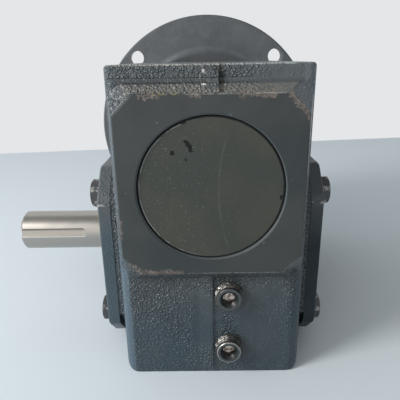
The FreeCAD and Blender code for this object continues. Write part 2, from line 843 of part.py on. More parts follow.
def make_ball_bearing(name, axis, start, bore, outside, width, ball, count):
    # Two grooved races, and a cage that holds the balls. Start is the end nearer the middle.
    pitch_radius = (bore + outside) / 4
    land = ball * s.race_land_share
    race_radius = ball * s.race_groove_share
    middle = start + width / 2
    end = start + width
    edge = s.race_edge
    bore_radius = bore / 2 + s.fit_clearance
    outside_radius = outside / 2 - s.fit_clearance
    inner_land = pitch_radius - land
    outer_land = pitch_radius + land
    inner_line = [
        (start, bore_radius + edge),
        (start + edge, bore_radius),
        (end - edge, bore_radius),
        (end, bore_radius + edge),
        (end, inner_land),
        (start, inner_land),
    ]
    outer_line = [
        (start, outer_land),
        (end, outer_land),
        (end, outside_radius - edge),
        (end - edge, outside_radius),
        (start + edge, outside_radius),
        (start, outside_radius - edge),
    ]
    pieces = []
    for part, line in (("inner_race", inner_line), ("outer_race", outer_line)):
        race = new_body(f"{name}_{part}")
        add_turned(race, line)
        add_round_groove(race, middle, pitch_radius, race_radius)
        place(race, axis)
        pieces.append(race)
    cage = new_body(f"{name}_cage_ring")
    half_thickness = ball * s.cage_thickness_share / 2
    half_width = ball * s.cage_width_share / 2
    add_turned(
        cage,
        [
            (middle - half_width, pitch_radius - half_thickness),
            (middle + half_width, pitch_radius - half_thickness),
            (middle + half_width, pitch_radius + half_thickness),
            (middle - half_width, pitch_radius + half_thickness),
        ],
    )
    pocket = new_sketch(cage, "XY_Plane")
    draw_circle(pocket, middle, 0, ball / 2 + s.cage_pocket_clearance)
    window = add_pocket(cage, pocket, pitch_radius + ball, reverse=True)
    add_polar_pattern(cage, window, count)
    items = [cage]
    for step in range(int(count.value)):
        sphere = doc.addObject("Part::Sphere", f"{cage.Name}Ball")
        bind(sphere, "Radius", ball / 2)
        angle = 360 * step / count
        bind(sphere, "Placement.Base.x", middle)
        bind(sphere, "Placement.Base.y", -pitch_radius * sine(angle))
        bind(sphere, "Placement.Base.z", pitch_radius * cosine(angle))
        items.append(sphere)
    pieces.append(group(f"{name}_cage", items, axis))
    return pieces


def make_bearings():
    pieces = make_ball_bearing(
        "rear_bearing",
        "worm",
        -rear_bearing_end,
        s.rear_bearing_bore,
        s.rear_bearing_outside,
        s.rear_bearing_width,
        s.rear_bearing_ball,
        s.rear_bearing_balls,
    )
    pieces += make_ball_bearing(
        "front_bearing",
        "worm",
        front_bearing_start,
        s.quill_diameter,
        s.front_bearing_outside,
        s.front_bearing_width,
        s.front_bearing_ball,
        s.front_bearing_balls,
    )
    for name, axis in (("left_bearing", "output_left"), ("right_bearing", "output")):
        pieces += make_ball_bearing(
            name,
            axis,
            s.output_shoulder_distance,
            s.output_seat_diameter,
            s.output_bearing_outside,
            s.output_bearing_width,
            s.output_bearing_ball,
            s.output_bearing_balls,
        )
    return pieces


def make_worm_shaft():
    body = new_body("worm_shaft")
    rear_seat = s.rear_bearing_bore / 2
    quill_radius = s.quill_diameter / 2
    end_radius = s.quill_end_diameter / 2
    relief = worm_relief_diameter / 2
    half_thread = s.worm_thread_length / 2
    rear_relief_end = -half_thread - s.worm_relief_length
    front_relief_end = half_thread + s.worm_relief_length
    edge = s.worm_shaft_edge
    ring_start = rear_bearing_end + s.fit_clearance
    ring_end = ring_start + s.shaft_ring_thickness + s.ring_side_clearance
    tail_end = -ring_end - s.worm_tail
    line = [
        (tail_end, 0),
        (tail_end, rear_seat - edge),
        (tail_end + edge, rear_seat),
        (-rear_bearing_start, rear_seat),
        (-rear_bearing_start, s.worm_rear_collar_diameter / 2),
        (rear_relief_end, s.worm_rear_collar_diameter / 2),
        (rear_relief_end, relief),
        (-half_thread, relief),
        (-half_thread, worm_root_diameter / 2),
        (-half_thread + module, worm_diameter / 2),
        (half_thread - module, worm_diameter / 2),
        (half_thread, worm_root_diameter / 2),
        (half_thread, relief),
        (front_relief_end, relief),
        (front_relief_end, s.worm_front_collar_diameter / 2),
        (front_bearing_start, s.worm_front_collar_diameter / 2),
        (front_bearing_start, quill_radius),
        (quill_step_distance, quill_radius),
        (quill_step_distance, end_radius),
        (quill_end_distance - edge, end_radius),
        (quill_end_distance, end_radius - edge),
        (quill_end_distance, 0),
    ]
    add_turned(body, line)

    # Groove for the worm's retaining ring
    floor = rear_seat - s.shaft_ring_depth
    top = rear_seat + overrun
    add_groove(body, [(-ring_end, floor), (-ring_start, floor), (-ring_start, top), (-ring_end, top)])

    # Bore and keyway for the motor shaft
    bore_radius = s.input_bore_diameter / 2
    bore = new_sketch(body, "YZ_Plane", quill_end_distance)
    draw_circle(bore, 0, 0, bore_radius)
    add_pocket(body, bore, s.input_bore_depth)
    keyway = new_sketch(body, "YZ_Plane", quill_end_distance)
    half_key = s.input_key_width / 2
    draw_rectangle(keyway, -half_key, half_key, 0, bore_radius + s.input_keyway_depth)
    add_pocket(body, keyway, s.input_bore_depth)

    # Worm thread: the space between turns, swept through the blank. The space is in the middle of
    # the worm on the side of the gear, half a turn from where the sweep starts.
    turns = 2 * rounded_up(half_thread / worm_lead) + 1
    start = -worm_lead * turns / 2
    slope = tangent(s.pressure_angle)
    pitch_radius = worm_pitch_diameter / 2
    half_space = worm_lead / 4 + s.tooth_backlash / 2
    root_radius = worm_root_diameter / 2
    outer_radius = worm_diameter / 2 + overrun
    half_root = half_space - (pitch_radius - root_radius) * slope
    half_top = half_space + (outer_radius - pitch_radius) * slope
    space = new_sketch(body, "XZ_Plane")
    draw_polygon(
        space,
        [
            (start - half_root, root_radius),
            (start + half_root, root_radius),
            (start + half_top, outer_radius),
            (start - half_top, outer_radius),
        ],
    )
    thread = body.newObject("PartDesign::SubtractiveHelix", "WormShaftThread")
    thread.Profile = space
    thread.ReferenceAxis = (origin_feature(body, "X_Axis"), [""])
    thread.Mode = "pitch-turns-angle"
    bind(thread, "Pitch", worm_lead)
    bind(thread, "Turns", turns)
    place(body, "worm")
    return body


def draw_tooth_space(sketch):
    # The space is symmetric about the sketch's Y axis. Each flank is an arc that follows the
    # involute: its centre is where the line of action touches the base circle.
    pitch_radius = s.gear_pitch_diameter / 2
    half_angle = (worm_lead / 2 + s.tooth_backlash) / pitch_radius / 2 * (180 / math.pi)
    flank_radius = pitch_radius * sine(s.pressure_angle)
    away = half_angle + s.pressure_angle
    centre_x = pitch_radius * sine(half_angle) + flank_radius * cosine(away)
    centre_y = pitch_radius * cosine(half_angle) - flank_radius * sine(away)
    top = gear_outside_radius + overrun
    root_rise = gear_root_radius - centre_y
    top_rise = top - centre_y
    root_x = centre_x - square_root(flank_radius * flank_radius - root_rise * root_rise)
    top_x = centre_x - square_root(flank_radius * flank_radius - top_rise * top_rise)
    spots = {
        "root_right": Vector(root_x.value, gear_root_radius.value, 0),
        "top_right": Vector(top_x.value, top.value, 0),
        "root_left": Vector(-root_x.value, gear_root_radius.value, 0),
        "top_left": Vector(-top_x.value, top.value, 0),
    }
    root = sketch.addGeometry(Part.LineSegment(spots["root_left"], spots["root_right"]))
    lid = sketch.addGeometry(Part.LineSegment(spots["top_right"], spots["top_left"]))
    for side, low, high in ((1, "root_right", "top_right"), (-1, "root_left", "top_left")):
        centre = Vector(side * centre_x.value, centre_y.value, 0)
        circle = Part.Circle(centre, Vector(0, 0, 1), flank_radius.value)
        ends = sorted(circle.parameter(spots[name]) for name in (low, high))
        flank = sketch.addGeometry(Part.ArcOfCircle(circle, ends[0], ends[1]))
        low_end = 2 if side > 0 else 1
        high_end = 1 if side > 0 else 2
        root_end = 2 if side > 0 else 1
        lid_end = 1 if side > 0 else 2
        sketch.addConstraint(Sketcher.Constraint("Coincident", flank, low_end, root, root_end))
        sketch.addConstraint(Sketcher.Constraint("Coincident", flank, high_end, lid, lid_end))
        fix_coordinate(sketch, "DistanceX", flank, 3, side * centre_x)
        fix_coordinate(sketch, "DistanceY", flank, 3, centre_y)
        index = sketch.addConstraint(Sketcher.Constraint("Radius", flank, flank_radius.value))
        bind(sketch, f"Constraints[{index}]", flank_radius)
        fix_coordinate(sketch, "DistanceY", flank, low_end, gear_root_radius)
        fix_coordinate(sketch, "DistanceY", flank, high_end, top)


def make_worm_gear():
    body = new_body("worm_gear")
    half_face = s.gear_face_width / 2
    half_hub = s.gear_hub_width / 2
    half_web = s.gear_web_width / 2
    hub = s.gear_hub_diameter / 2
    rim = gear_root_radius - s.gear_rim_thickness
    bore = s.gear_seat_diameter / 2 + s.fit_clearance
    add_turned(
        body,
        [
            (-half_hub, bore),
            (half_hub, bore),
            (half_hub, hub),
            (half_web, hub),
            (half_web, rim),
            (half_face, rim),
            (half_face, gear_outside_radius),
            (-half_face, gear_outside_radius),
            (-half_face, rim),
            (-half_web, rim),
            (-half_web, hub),
            (-half_hub, hub),
        ],
    )

    # The rim is hollowed a little where it runs under the worm
    throat = s.centre_distance - gear_throat_radius
    add_round_groove(body, 0, s.centre_distance, throat)

    # Tooth spaces lean with the worm's lead angle, which turns one end of each against the other
    lean = worm_lead / (math.pi * worm_pitch_diameter) / (s.gear_pitch_diameter / 2) * (180 / math.pi)
    reach = half_face + overrun
    half_pitch = 180 / s.gear_teeth
    ends = []
    for side in (-1, 1):
        sketch = new_sketch(body, "YZ_Plane", side * reach, half_pitch + side * reach * lean)
        draw_tooth_space(sketch)
        ends.append(sketch)
    space = body.newObject("PartDesign::SubtractiveLoft", "WormGearToothSpace")
    space.Profile = ends[0]
    space.Sections = [ends[1]]
    space.Ruled = True
    add_polar_pattern(body, space, s.gear_teeth)

    # Keyway in the bore
    keyway = new_sketch(body, "YZ_Plane", -half_hub - overrun, s.output_key_angle)
    half_key = s.gear_key_width / 2 + s.seat_clearance
    key_top = s.gear_seat_diameter / 2 + s.gear_key_height / 2 + s.seat_clearance
    draw_rectangle(keyway, -half_key, half_key, 0, key_top)
    add_pocket(body, keyway, s.gear_hub_width + 2 * overrun, reverse=True)
    place(body, "output")
    return body


def make_output_shaft():
    body = new_body("output_shaft")
    end = -output_end_distance
    radius = s.output_diameter / 2
    journal = s.output_journal_diameter / 2
    journal_end = hub_face_distance - s.output_journal_recess
    seat = s.output_seat_diameter / 2
    gear_seat = s.gear_seat_diameter / 2
    collar = output_collar_diameter / 2
    shoulder = s.output_shoulder_distance
    half_hub = s.gear_hub_width / 2
    edge = s.output_end_chamfer
    add_turned(
        body,
        [
            (end, 0),
            (end, radius - edge),
            (end + edge, radius),
            (-journal_end, radius),
            (s.output_journal_edge - journal_end, journal),
            (-s.output_seat_end - edge, journal),
            (-s.output_seat_end, seat),
            (-shoulder, seat),
            (-shoulder, collar),
            (-half_hub, collar),
            (-half_hub, gear_seat),
            (shoulder, gear_seat),
            (shoulder, seat),
            (s.output_tail_end - edge, seat),
            (s.output_tail_end, seat - edge),
            (s.output_tail_end, 0),
        ],
    )

    # Keyway of the output end, cut by an end mill, and the gear key's keyseat
    half_key = s.output_key_width / 2
    floor = radius - s.output_keyway_depth
    run = end + s.output_keyway_length - half_key
    slot = new_sketch(body, "XY_Plane", floor)
    draw_rectangle(slot, end - overrun, run, -half_key, half_key)
    add_pocket(body, slot, radius, reverse=True)
    mill = new_sketch(body, "XY_Plane", floor)
    draw_circle(mill, run, 0, half_key)
    add_pocket(body, mill, radius, reverse=True)
    half_gear_key = s.gear_key_width / 2 + s.seat_clearance
    half_length = s.gear_key_length / 2 + s.seat_clearance
    keyseat = new_sketch(body, "XY_Plane", gear_seat - s.gear_key_height / 2 - s.seat_clearance)
    draw_rectangle(keyseat, -half_length, half_length, -half_gear_key, half_gear_key)
    add_pocket(body, keyseat, gear_seat, reverse=True)
    place_turned_to_key(body)
    return body


def place_turned_to_key(item):
    # The keys face this way round the output shaft's axis
    item.Placement = Placement(
        Vector(0, 0, s.shaft_height.value), Rotation(Vector(1, 0, 0), s.output_key_angle.value)
    )
    bind(item, "Placement.Base.z", s.shaft_height)
    bind(item, "Placement.Rotation.Angle", s.output_key_angle)


def make_gear_key():
    body = new_body("gear_key")
    half_length = s.gear_key_length / 2
    half_width = s.gear_key_width / 2
    bottom = s.gear_seat_diameter / 2 - s.gear_key_height / 2
    outline = new_sketch(body, "XY_Plane", bottom)
    draw_rectangle(outline, -half_length, half_length, -half_width, half_width)
    add_pad(body, outline, s.gear_key_height)
    place_turned_to_key(body)
    return body


def make_gear_spacer():
    body = new_body("gear_spacer")
    start = s.gear_hub_width / 2 + s.fit_clearance
    end = s.output_shoulder_distance - s.fit_clearance
    inner = s.gear_seat_diameter / 2 + s.fit_clearance
    outer = output_collar_diameter / 2
    add_turned(body, [(start, inner), (end, inner), (end, outer), (start, outer)])
    place(body, "output")
    return body


def make_seal(label, axis, start, shaft_diameter, outside, width):
    # A shell of L section with a lip that leans on the shaft
    body = new_body(label)
    outer = outside / 2 - s.fit_clearance
    inner = shaft_diameter / 2 + s.seal_gap
    shell = s.seal_shell
    end = start + width
    toe = start + s.seal_web
    lip = start + width * s.seal_lip_share
    flare = inner + s.seal_lip_flare
    add_turned(
        body,
        [
            (start, outer - shell),
            (start, outer),
            (end, outer),
            (end, inner + shell),
            (end - shell, inner + shell),
            (lip + shell, flare),
            (lip, inner),
            (lip - s.seal_lip_land, inner),
            (toe, inner + shell),
            (toe, inner + shell * 2),
            (lip + shell, flare + shell),
            (end - shell, inner + shell * 2),
            (end - shell, outer - shell),
        ],
    )
    place(body, axis)
    return body


def make_cover(label, axis, open_end):
    body = new_body(label)
    pocket_start = s.output_shoulder_distance + s.cover_pocket_gap
    pocket_end = s.output_shoulder_distance + s.output_bearing_width
    race = s.output_bearing_outside / 2
    carrier = race + s.cover_carrier_wall
    register = side_bore_diameter / 2 - s.seat_clearance
    register_start = cover_face_distance - s.cover_register_depth
    hub = s.cover_hub_diameter / 2
    plate = new_sketch(body, "YZ_Plane", cover_face_distance)
    draw_polygon(plate, octagon(s.cover_size, s.cover_size, s.cover_corner))
    add_pad(body, plate, s.cover_thickness)
    x_way = Vector(1, 0, 0)
    add_fillet(body, s.cover_corner_radius, lambda edge: along_axis(edge, x_way))
    add_fillet(
        body,
        s.cover_edge,
        lambda edge: all(near(vertex.X, cover_outer_distance) for vertex in edge.Vertexes),
    )
    line = [
        (pocket_start, 0),
        (hub_face_distance, 0),
        (hub_face_distance, hub - s.cover_edge),
        (hub_face_distance - s.cover_edge, hub),
        (cover_outer_distance - overrun, hub),
        (cover_face_distance, register),
        (register_start, register),
        (register_start, carrier),
        (pocket_start, carrier),
    ]
    add_turned(body, line)
    mouth = pocket_start - overrun
    add_groove(body, [(mouth, 0), (pocket_end, 0), (pocket_end, race), (mouth, race)])
    clear = s.output_seat_diameter / 2 + s.cover_shaft_clearance
    bottom = pocket_end - overrun
    if open_end:
        seal_start = hub_face_distance - s.output_seal_width
        seal = s.output_seal_outside / 2
        outside = hub_face_distance + overrun
        add_groove(
            body,
            [
                (bottom, 0),
                (outside, 0),
                (outside, seal),
                (seal_start, seal),
                (seal_start, clear),
                (bottom, clear),
            ],
        )
    else:
        end = cover_face_distance
        add_groove(body, [(bottom, 0), (end, 0), (end, clear), (bottom, clear)])
    holes = new_sketch(body, "YZ_Plane", cover_outer_distance)
    for y in (-cover_bolt_step, cover_bolt_step):
        for z in (-cover_bolt_step, cover_bolt_step):
            draw_circle(holes, y, z, bolt_hole_diameter / 2)
    add_pocket(body, holes, s.cover_thickness + overrun)
    place(body, axis)
    return body


def make_cover_gasket(label, axis):
    body = new_body(label)
    sheet_line = new_sketch(body, "YZ_Plane", boss_face_distance)
    outline = octagon(boss_size, boss_size, s.boss_corner, low_corner=s.boss_low_corner)
    draw_polygon(sheet_line, outline)
    draw_circle(sheet_line, 0, 0, side_bore_diameter / 2)
    for y in (-cover_bolt_step, cover_bolt_step):
        for z in (-cover_bolt_step, cover_bolt_step):
            draw_circle(sheet_line, y, z, bolt_hole_diameter / 2)
    add_pad(body, sheet_line, s.cover_gasket_thickness)
    place(body, axis)
    return body


def make_hex_bolt(label, y, z):
    body = new_body(label)
    head = new_sketch(body, "YZ_Plane", cover_outer_distance)
    draw_polygon(head, hexagon(s.bolt_head_across_flats))
    add_pad(body, head, s.bolt_head_height)
    crown = cover_outer_distance + s.bolt_head_height
    crown_radius = s.bolt_head_across_flats / 2 - s.bolt_crown_inset
    outside = s.bolt_head_across_flats / 2 / cosine(30) + overrun
    add_groove(
        body,
        [
            (crown, crown_radius),
            (crown + overrun, crown_radius),
            (crown + overrun, outside),
            (crown - (outside - crown_radius) * tangent(s.bolt_crown_angle), outside),
        ],
    )
    shank = new_sketch(body, "YZ_Plane", cover_outer_distance)
    draw_circle(shank, 0, 0, s.bolt_diameter / 2)
    add_pad(body, shank, s.bolt_length, reverse=True)
    bind(body, "Placement.Base.y", y)
    bind(body, "Placement.Base.z", z)
    return body


def make_cover_bolts(label, axis):
    bolts = []
    for y in (-cover_bolt_step, cover_bolt_step):
        for z in (-cover_bolt_step, cover_bolt_step):
            bolts.append(make_hex_bolt(f"{label}_{len(bolts) + 1}", y, z))
    return group(label, bolts, axis)


def make_motor_flange():
    body = new_body("motor_flange")
    flange = flange_diameter / 2
    neck = neck_diameter / 2
    inner = neck_inner_diameter / 2
    pilot = s.pilot_diameter / 2
    pilot_start = s.flange_face_distance - s.pilot_depth
    spigot = s.front_bearing_outside / 2 - s.seat_clearance
    seal = s.input_seal_outside / 2
    seal_start = web_face_distance - s.input_seal_width - s.input_seal_recess
    lip = s.quill_diameter / 2 + s.quill_clearance
    edge = s.flange_edge
    add_turned(
        body,
        [
            (front_bearing_end, spigot - s.flange_spigot_wall),
            (front_bearing_end, spigot),
            (adapter_face_distance, spigot),
            (adapter_face_distance, neck),
            (flange_rear_distance, neck),
            (flange_rear_distance, flange - edge),
            (flange_rear_distance + edge, flange),
            (s.flange_face_distance - edge, flange),
            (s.flange_face_distance, flange - edge),
            (s.flange_face_distance, pilot),
            (pilot_start, pilot),
            (pilot_start, inner),
            (web_face_distance, inner),
            (web_face_distance, seal),
            (seal_start, seal),
            (seal_start, lip),
            (adapter_face_distance, lip),
        ],
    )
    add_fillet(
        body,
        s.neck_fillet,
        lambda edge: isinstance(edge.Curve, Part.Circle)
        and near(edge.Curve.Radius, neck)
        and near(edge.CenterOfMass.x, flange_rear_distance),
    )
    diagonal = s.flange_bolt_circle / 2 * sine(45)
    screw_step = flange_screw_circle / 2 * sine(45)
    motor_holes = new_sketch(body, "YZ_Plane", s.flange_face_distance)
    screw_holes = new_sketch(body, "YZ_Plane", web_face_distance)
    for across in (-1, 1):
        for up in (-1, 1):
            draw_circle(motor_holes, across * diagonal, up * diagonal, s.flange_bolt_hole / 2)
            draw_circle(screw_holes, across * screw_step, up * screw_step, screw_hole_diameter / 2)
    add_pocket(body, motor_holes, s.flange_thickness + overrun)
    add_pocket(body, screw_holes, s.neck_web_thickness + overrun)
    place(body, "worm")
    return body


def make_flange_gasket():
    body = new_body("flange_gasket")
    sheet_line = new_sketch(body, "YZ_Plane", front_face_distance)
    size = flange_screw_circle + 2 * s.flange_gasket_margin
    draw_polygon(sheet_line, octagon(size, size, s.flange_gasket_corner))
    draw_circle(sheet_line, 0, 0, s.front_bearing_outside / 2)
    add_pad(body, sheet_line, s.flange_gasket_thickness)
    screw_step = flange_screw_circle / 2 * sine(45)
    holes = new_sketch(body, "YZ_Plane", front_face_distance)
    for across in (-1, 1):
        for up in (-1, 1):
            draw_circle(holes, across * screw_step, up * screw_step, screw_hole_diameter / 2)
    add_pocket(body, holes, s.flange_gasket_thickness + overrun, reverse=True)
    place(body, "worm")
    return body


def make_socket_screw(label, y, z):
    body = new_body(label)
    seat = web_face_distance
    head = s.screw_head_diameter / 2
    shank = s.screw_diameter / 2
    edge = s.screw_edge
    crown = seat + s.screw_head_height
    add_turned(
        body,
        [
            (seat - s.screw_length, 0),
            (seat - s.screw_length, shank - edge),
            (seat - s.screw_length + edge, shank),
            (seat, shank),
            (seat, head),
            (crown - edge, head),
            (crown, head - edge),
            (crown, 0),
        ],
    )
    socket = new_sketch(body, "YZ_Plane", crown)
    draw_polygon(socket, hexagon(s.screw_socket))
    add_pocket(body, socket, s.screw_socket_depth)
    bind(body, "Placement.Base.y", y)
    bind(body, "Placement.Base.z", z)
    return body


def make_flange_screws():
    screw_step = flange_screw_circle / 2 * sine(45)
    screws = []
    for y in (-screw_step, screw_step):
        for z in (-screw_step, screw_step):
            screws.append(make_socket_screw(f"flange_screw_{len(screws) + 1}", y, z))
    return group("flange_screws", screws, "worm")


def make_pipe_plug(label, height):
    # Drawn along its own X axis, which points out of the rear wall
    body = new_body(label)
    face = s.pipe_plug_proud
    back = face - s.pipe_plug_length
    radius = s.pipe_plug_diameter / 2
    edge = s.pipe_plug_edge
    add_turned(
        body,
        [
            (back, 0),
            (back, s.pipe_plug_small_diameter / 2),
            (0, radius),
            (face - edge, radius),
            (face, radius - edge),
            (face, 0),
        ],
    )
    sink = s.pipe_plug_countersink / 2
    apex = face - s.pipe_plug_countersink_depth
    outside = face + overrun
    add_groove(body, [(apex, 0), (face, sink), (outside, sink), (outside, 0)])
    socket = new_sketch(body, "YZ_Plane", face, s.pipe_plug_socket_turn)
    draw_polygon(socket, hexagon(s.pipe_plug_socket))
    add_pocket(body, socket, s.pipe_plug_socket_depth)
    body.Placement = Placement(
        Vector(s.pipe_plug_offset.value, -rear_wall_distance.value, height.value),
        Rotation(Vector(0, 0, 1), -90),
    )
    bind(body, "Placement.Base.x", s.pipe_plug_offset)
    bind(body, "Placement.Base.y", -rear_wall_distance)
    bind(body, "Placement.Base.z", height)
    return body


def make_pieces():
    pieces = [
        make_housing(),
        make_bore_plug(),
        make_bore_ring(),
        make_shaft_ring(),
        make_worm_shaft(),
        make_output_shaft(),
        make_worm_gear(),
        make_gear_key(),
        make_gear_spacer(),
        make_cover("left_cover", "output_left", True),
        make_cover("right_cover", "output", False),
        make_cover_gasket("left_cover_gasket", "output_left"),
        make_cover_gasket("right_cover_gasket", "output"),
        make_cover_bolts("left_cover_bolts", "output_left"),
        make_cover_bolts("right_cover_bolts", "output"),
        make_motor_flange(),
        make_flange_gasket(),
        make_flange_screws(),
        make_pipe_plug("upper_pipe_plug", upper_plug_height),
        make_pipe_plug("lower_pipe_plug", s.lower_plug_height),
    ]
    pieces.append(
        make_seal(
            "output_seal",
            "output_left",
            hub_face_distance - s.output_seal_width,
            s.output_journal_diameter,
            s.output_seal_outside,
            s.output_seal_width,
        )
    )
    pieces.append(
        make_seal(
            "input_seal",
            "worm",
            web_face_distance - s.input_seal_width - s.input_seal_recess,
            s.quill_diameter,
            s.input_seal_outside,
            s.input_seal_width,
        )
    )
    return pieces + make_bearings()


def check_document(pieces):
    problems = []
    for item in doc.Objects:
        if "Invalid" in item.State or "Error" in item.State:
            problems.append(f"{item.Label} is in state {item.State}")
    cuts = [f"PartDesign::{kind}" for kind in ("Pocket", "Groove", "SubtractiveLoft", "SubtractiveHelix")]
    for item in doc.Objects:
        if item.TypeId in cuts and item.BaseFeature:
            if item.Shape.Volume > item.BaseFeature.Shape.Volume - tolerance:
                problems.append(f"{item.Label} cuts nothing")
    for piece in pieces:
        if piece.Shape.isNull() or not piece.Shape.isValid() or not piece.Shape.Solids:
            problems.append(f"{piece.Label} has no sound solid")
    if problems:
        raise RuntimeError("; ".join(problems))


def main():
    pieces = make_pieces()
    doc.recompute()
    check_document(pieces)
    os.makedirs("parts", exist_ok=True)
    for piece in pieces:
        piece.Shape.exportStep(f"parts/{piece.Label}.step")
        solids = len(piece.Shape.Solids)
        print(f"{piece.Label}: {solids} solid, {piece.Shape.Volume:.0f} mm3, {len(piece.Shape.Faces)} faces")


main()
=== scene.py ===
import math

import bpy
from mathutils import Matrix, Vector


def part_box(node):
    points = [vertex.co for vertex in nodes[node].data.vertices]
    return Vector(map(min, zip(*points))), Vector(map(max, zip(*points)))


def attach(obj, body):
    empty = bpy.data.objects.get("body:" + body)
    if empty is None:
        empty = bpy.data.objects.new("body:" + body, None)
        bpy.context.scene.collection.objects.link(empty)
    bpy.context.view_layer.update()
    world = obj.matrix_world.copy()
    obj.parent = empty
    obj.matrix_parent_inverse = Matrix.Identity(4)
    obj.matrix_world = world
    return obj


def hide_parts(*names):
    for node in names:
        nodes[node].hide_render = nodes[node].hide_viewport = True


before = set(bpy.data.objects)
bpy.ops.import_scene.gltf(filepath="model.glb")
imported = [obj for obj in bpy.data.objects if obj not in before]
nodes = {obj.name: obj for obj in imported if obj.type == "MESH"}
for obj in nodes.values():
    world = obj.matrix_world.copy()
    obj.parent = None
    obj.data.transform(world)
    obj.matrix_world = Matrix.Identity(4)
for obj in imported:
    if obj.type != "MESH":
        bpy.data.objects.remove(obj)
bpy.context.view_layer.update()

mm = 0.001
print("frame loaded with", len(nodes), "nodes")

# Places on the CAD that the looks and the fasteners follow, in millimetres
reducer = {
    "wormHeight": 95.25,
    "shaftHeight": 50.8,
    "boltSpacing": 66.0,
    "plugX": 7.8,
    "plugFace": -68.8,
    "plugHeights": (43.6, 15.0),
}


# Colours are written as they look on a screen, 0 to 255
def tone(red, green, blue):
    parts = []
    for part in (red, green, blue):
        part /= 255
        parts.append(part / 12.92 if part <= 0.04045 else ((part + 0.055) / 1.055) ** 2.4)
    return (*parts, 1.0)


def addNode(tree, kind, settings=None, inputs=None):
    node = tree.nodes.new(kind)
    for name, value in (settings or {}).items():
        setattr(node, name, value)
    for name, value in (inputs or {}).items():
        if isinstance(value, bpy.types.NodeSocket):
            tree.links.new(value, node.inputs[name])
        else:
            node.inputs[name].default_value = value
    return node


def calc(tree, operation, *values):
    inputs = dict(enumerate(values))
    return addNode(tree, "ShaderNodeMath", {"operation": operation}, inputs).outputs[0]


# The same operation over two or more values, from the first on
def chain(operation):
    def apply(tree, first, *others):
        for other in others:
            first = calc(tree, operation, first, other)
        return first
    return apply


times, plus, minus = chain("MULTIPLY"), chain("ADD"), chain("SUBTRACT")
largest, smallest = chain("MAXIMUM"), chain("MINIMUM")


def inverse(tree, mask):
    return calc(tree, "SUBTRACT", 1.0, mask)


# 0 below low and 1 above high, or the other way round, with a soft step between
def ease(tree, value, low, high, start=0.0, end=1.0):
    return addNode(
        tree,
        "ShaderNodeMapRange",
        {"interpolation_type": "SMOOTHSTEP", "clamp": True},
        {"Value": value, "From Min": low, "From Max": high, "To Min": start, "To Max": end},
    ).outputs[0]


# 1 inside the window round middle, fading to 0 over soft
def window(tree, value, middle, half, soft):
    away = calc(tree, "ABSOLUTE", minus(tree, value, middle))
    return ease(tree, away, half, half + soft, 1.0, 0.0)


def blendTones(tree, share, first, second):
    return addNode(tree, "ShaderNodeMix", {"data_type": "RGBA"}, {0: share, 6: first, 7: second}).outputs[2]


def noise(tree, vector, scale, detail, roughness, distortion=0.0):
    inputs = {"Vector": vector, "Scale": scale, "Detail": detail, "Roughness": roughness}
    return addNode(tree, "ShaderNodeTexNoise", None, {**inputs, "Distortion": distortion}).outputs[0]


def scaled(tree, vector, factor):
    inputs = {0: vector, "Scale": factor}
    return addNode(tree, "ShaderNodeVectorMath", {"operation": "SCALE"}, inputs).outputs[0]


def distanceTo(tree, x, z, middleX, middleZ):
    aside = minus(tree, x, middleX)
    above = minus(tree, z, middleZ)
    square = plus(tree, times(tree, aside, aside), times(tree, above, above))
    return calc(tree, "SQRT", square)


def newGroup(name, inputs, outputs):
    tree = bpy.data.node_groups.new(name, "ShaderNodeTree")
    for label, value in inputs.items():
        kind = "NodeSocketVector" if value is None else "NodeSocketFloat"
        socket = tree.interface.new_socket(name=label, in_out="INPUT", socket_type=kind)
        if value is not None:
            socket.default_value = value
    for label in outputs:
        tree.interface.new_socket(name=label, in_out="OUTPUT", socket_type="NodeSocketFloat")
    return tree, tree.nodes.new("NodeGroupInput").outputs, tree.nodes.new("NodeGroupOutput").inputs


def useGroup(tree, name, inputs):
    return addNode(tree, "ShaderNodeGroup", {"node_tree": bpy.data.node_groups[name]}, inputs).outputs


# A mask from rows of a place's name and numbers. Two numbers are where it fades in, and two more are its
# values there. Three are a window: its middle, half width and soft edge. A plain number is a share.
def maskOf(tree, here, rows):
    factors = []
    for row in rows:
        if isinstance(row, float):
            factors.append(row)
            continue
        name, *numbers = row
        shape = window if len(numbers) == 3 else ease
        factors.append(shape(tree, here[name], *numbers))
    return times(tree, *factors)


# An uneven mask, from a noise's scale, detail and roughness and the steps of its fade
def patchy(tree, spot, grain, steps):
    return ease(tree, noise(tree, spot, *grain), *steps)


def patches(tree, spot, size):
    return useGroup(tree, "softPatches", {"Vector": spot, "Size": size})["Value"]


def flecks(tree, spot, spacing, size, share):
    inputs = {"Vector": spot, "Spacing": spacing, "Size": size, "Share": share}
    return useGroup(tree, "dustFlecks", inputs)["Mask"]


castGrainLook = {
    "bendScale": 0.9,
    "bendReach": 0.8,
    "dome": (0.08, 0.66, 1.0, 0.0),
    "domeHeight": 0.6,
    "fine": (1.9, 2.0, 0.6),
    "fineHeight": 0.25,
    "lump": (0.4, 1.0, 0.5),
    "tip": (0.34, 0.16, 0.0, 1.0),
    "picked": (0.2, 0.8),
}


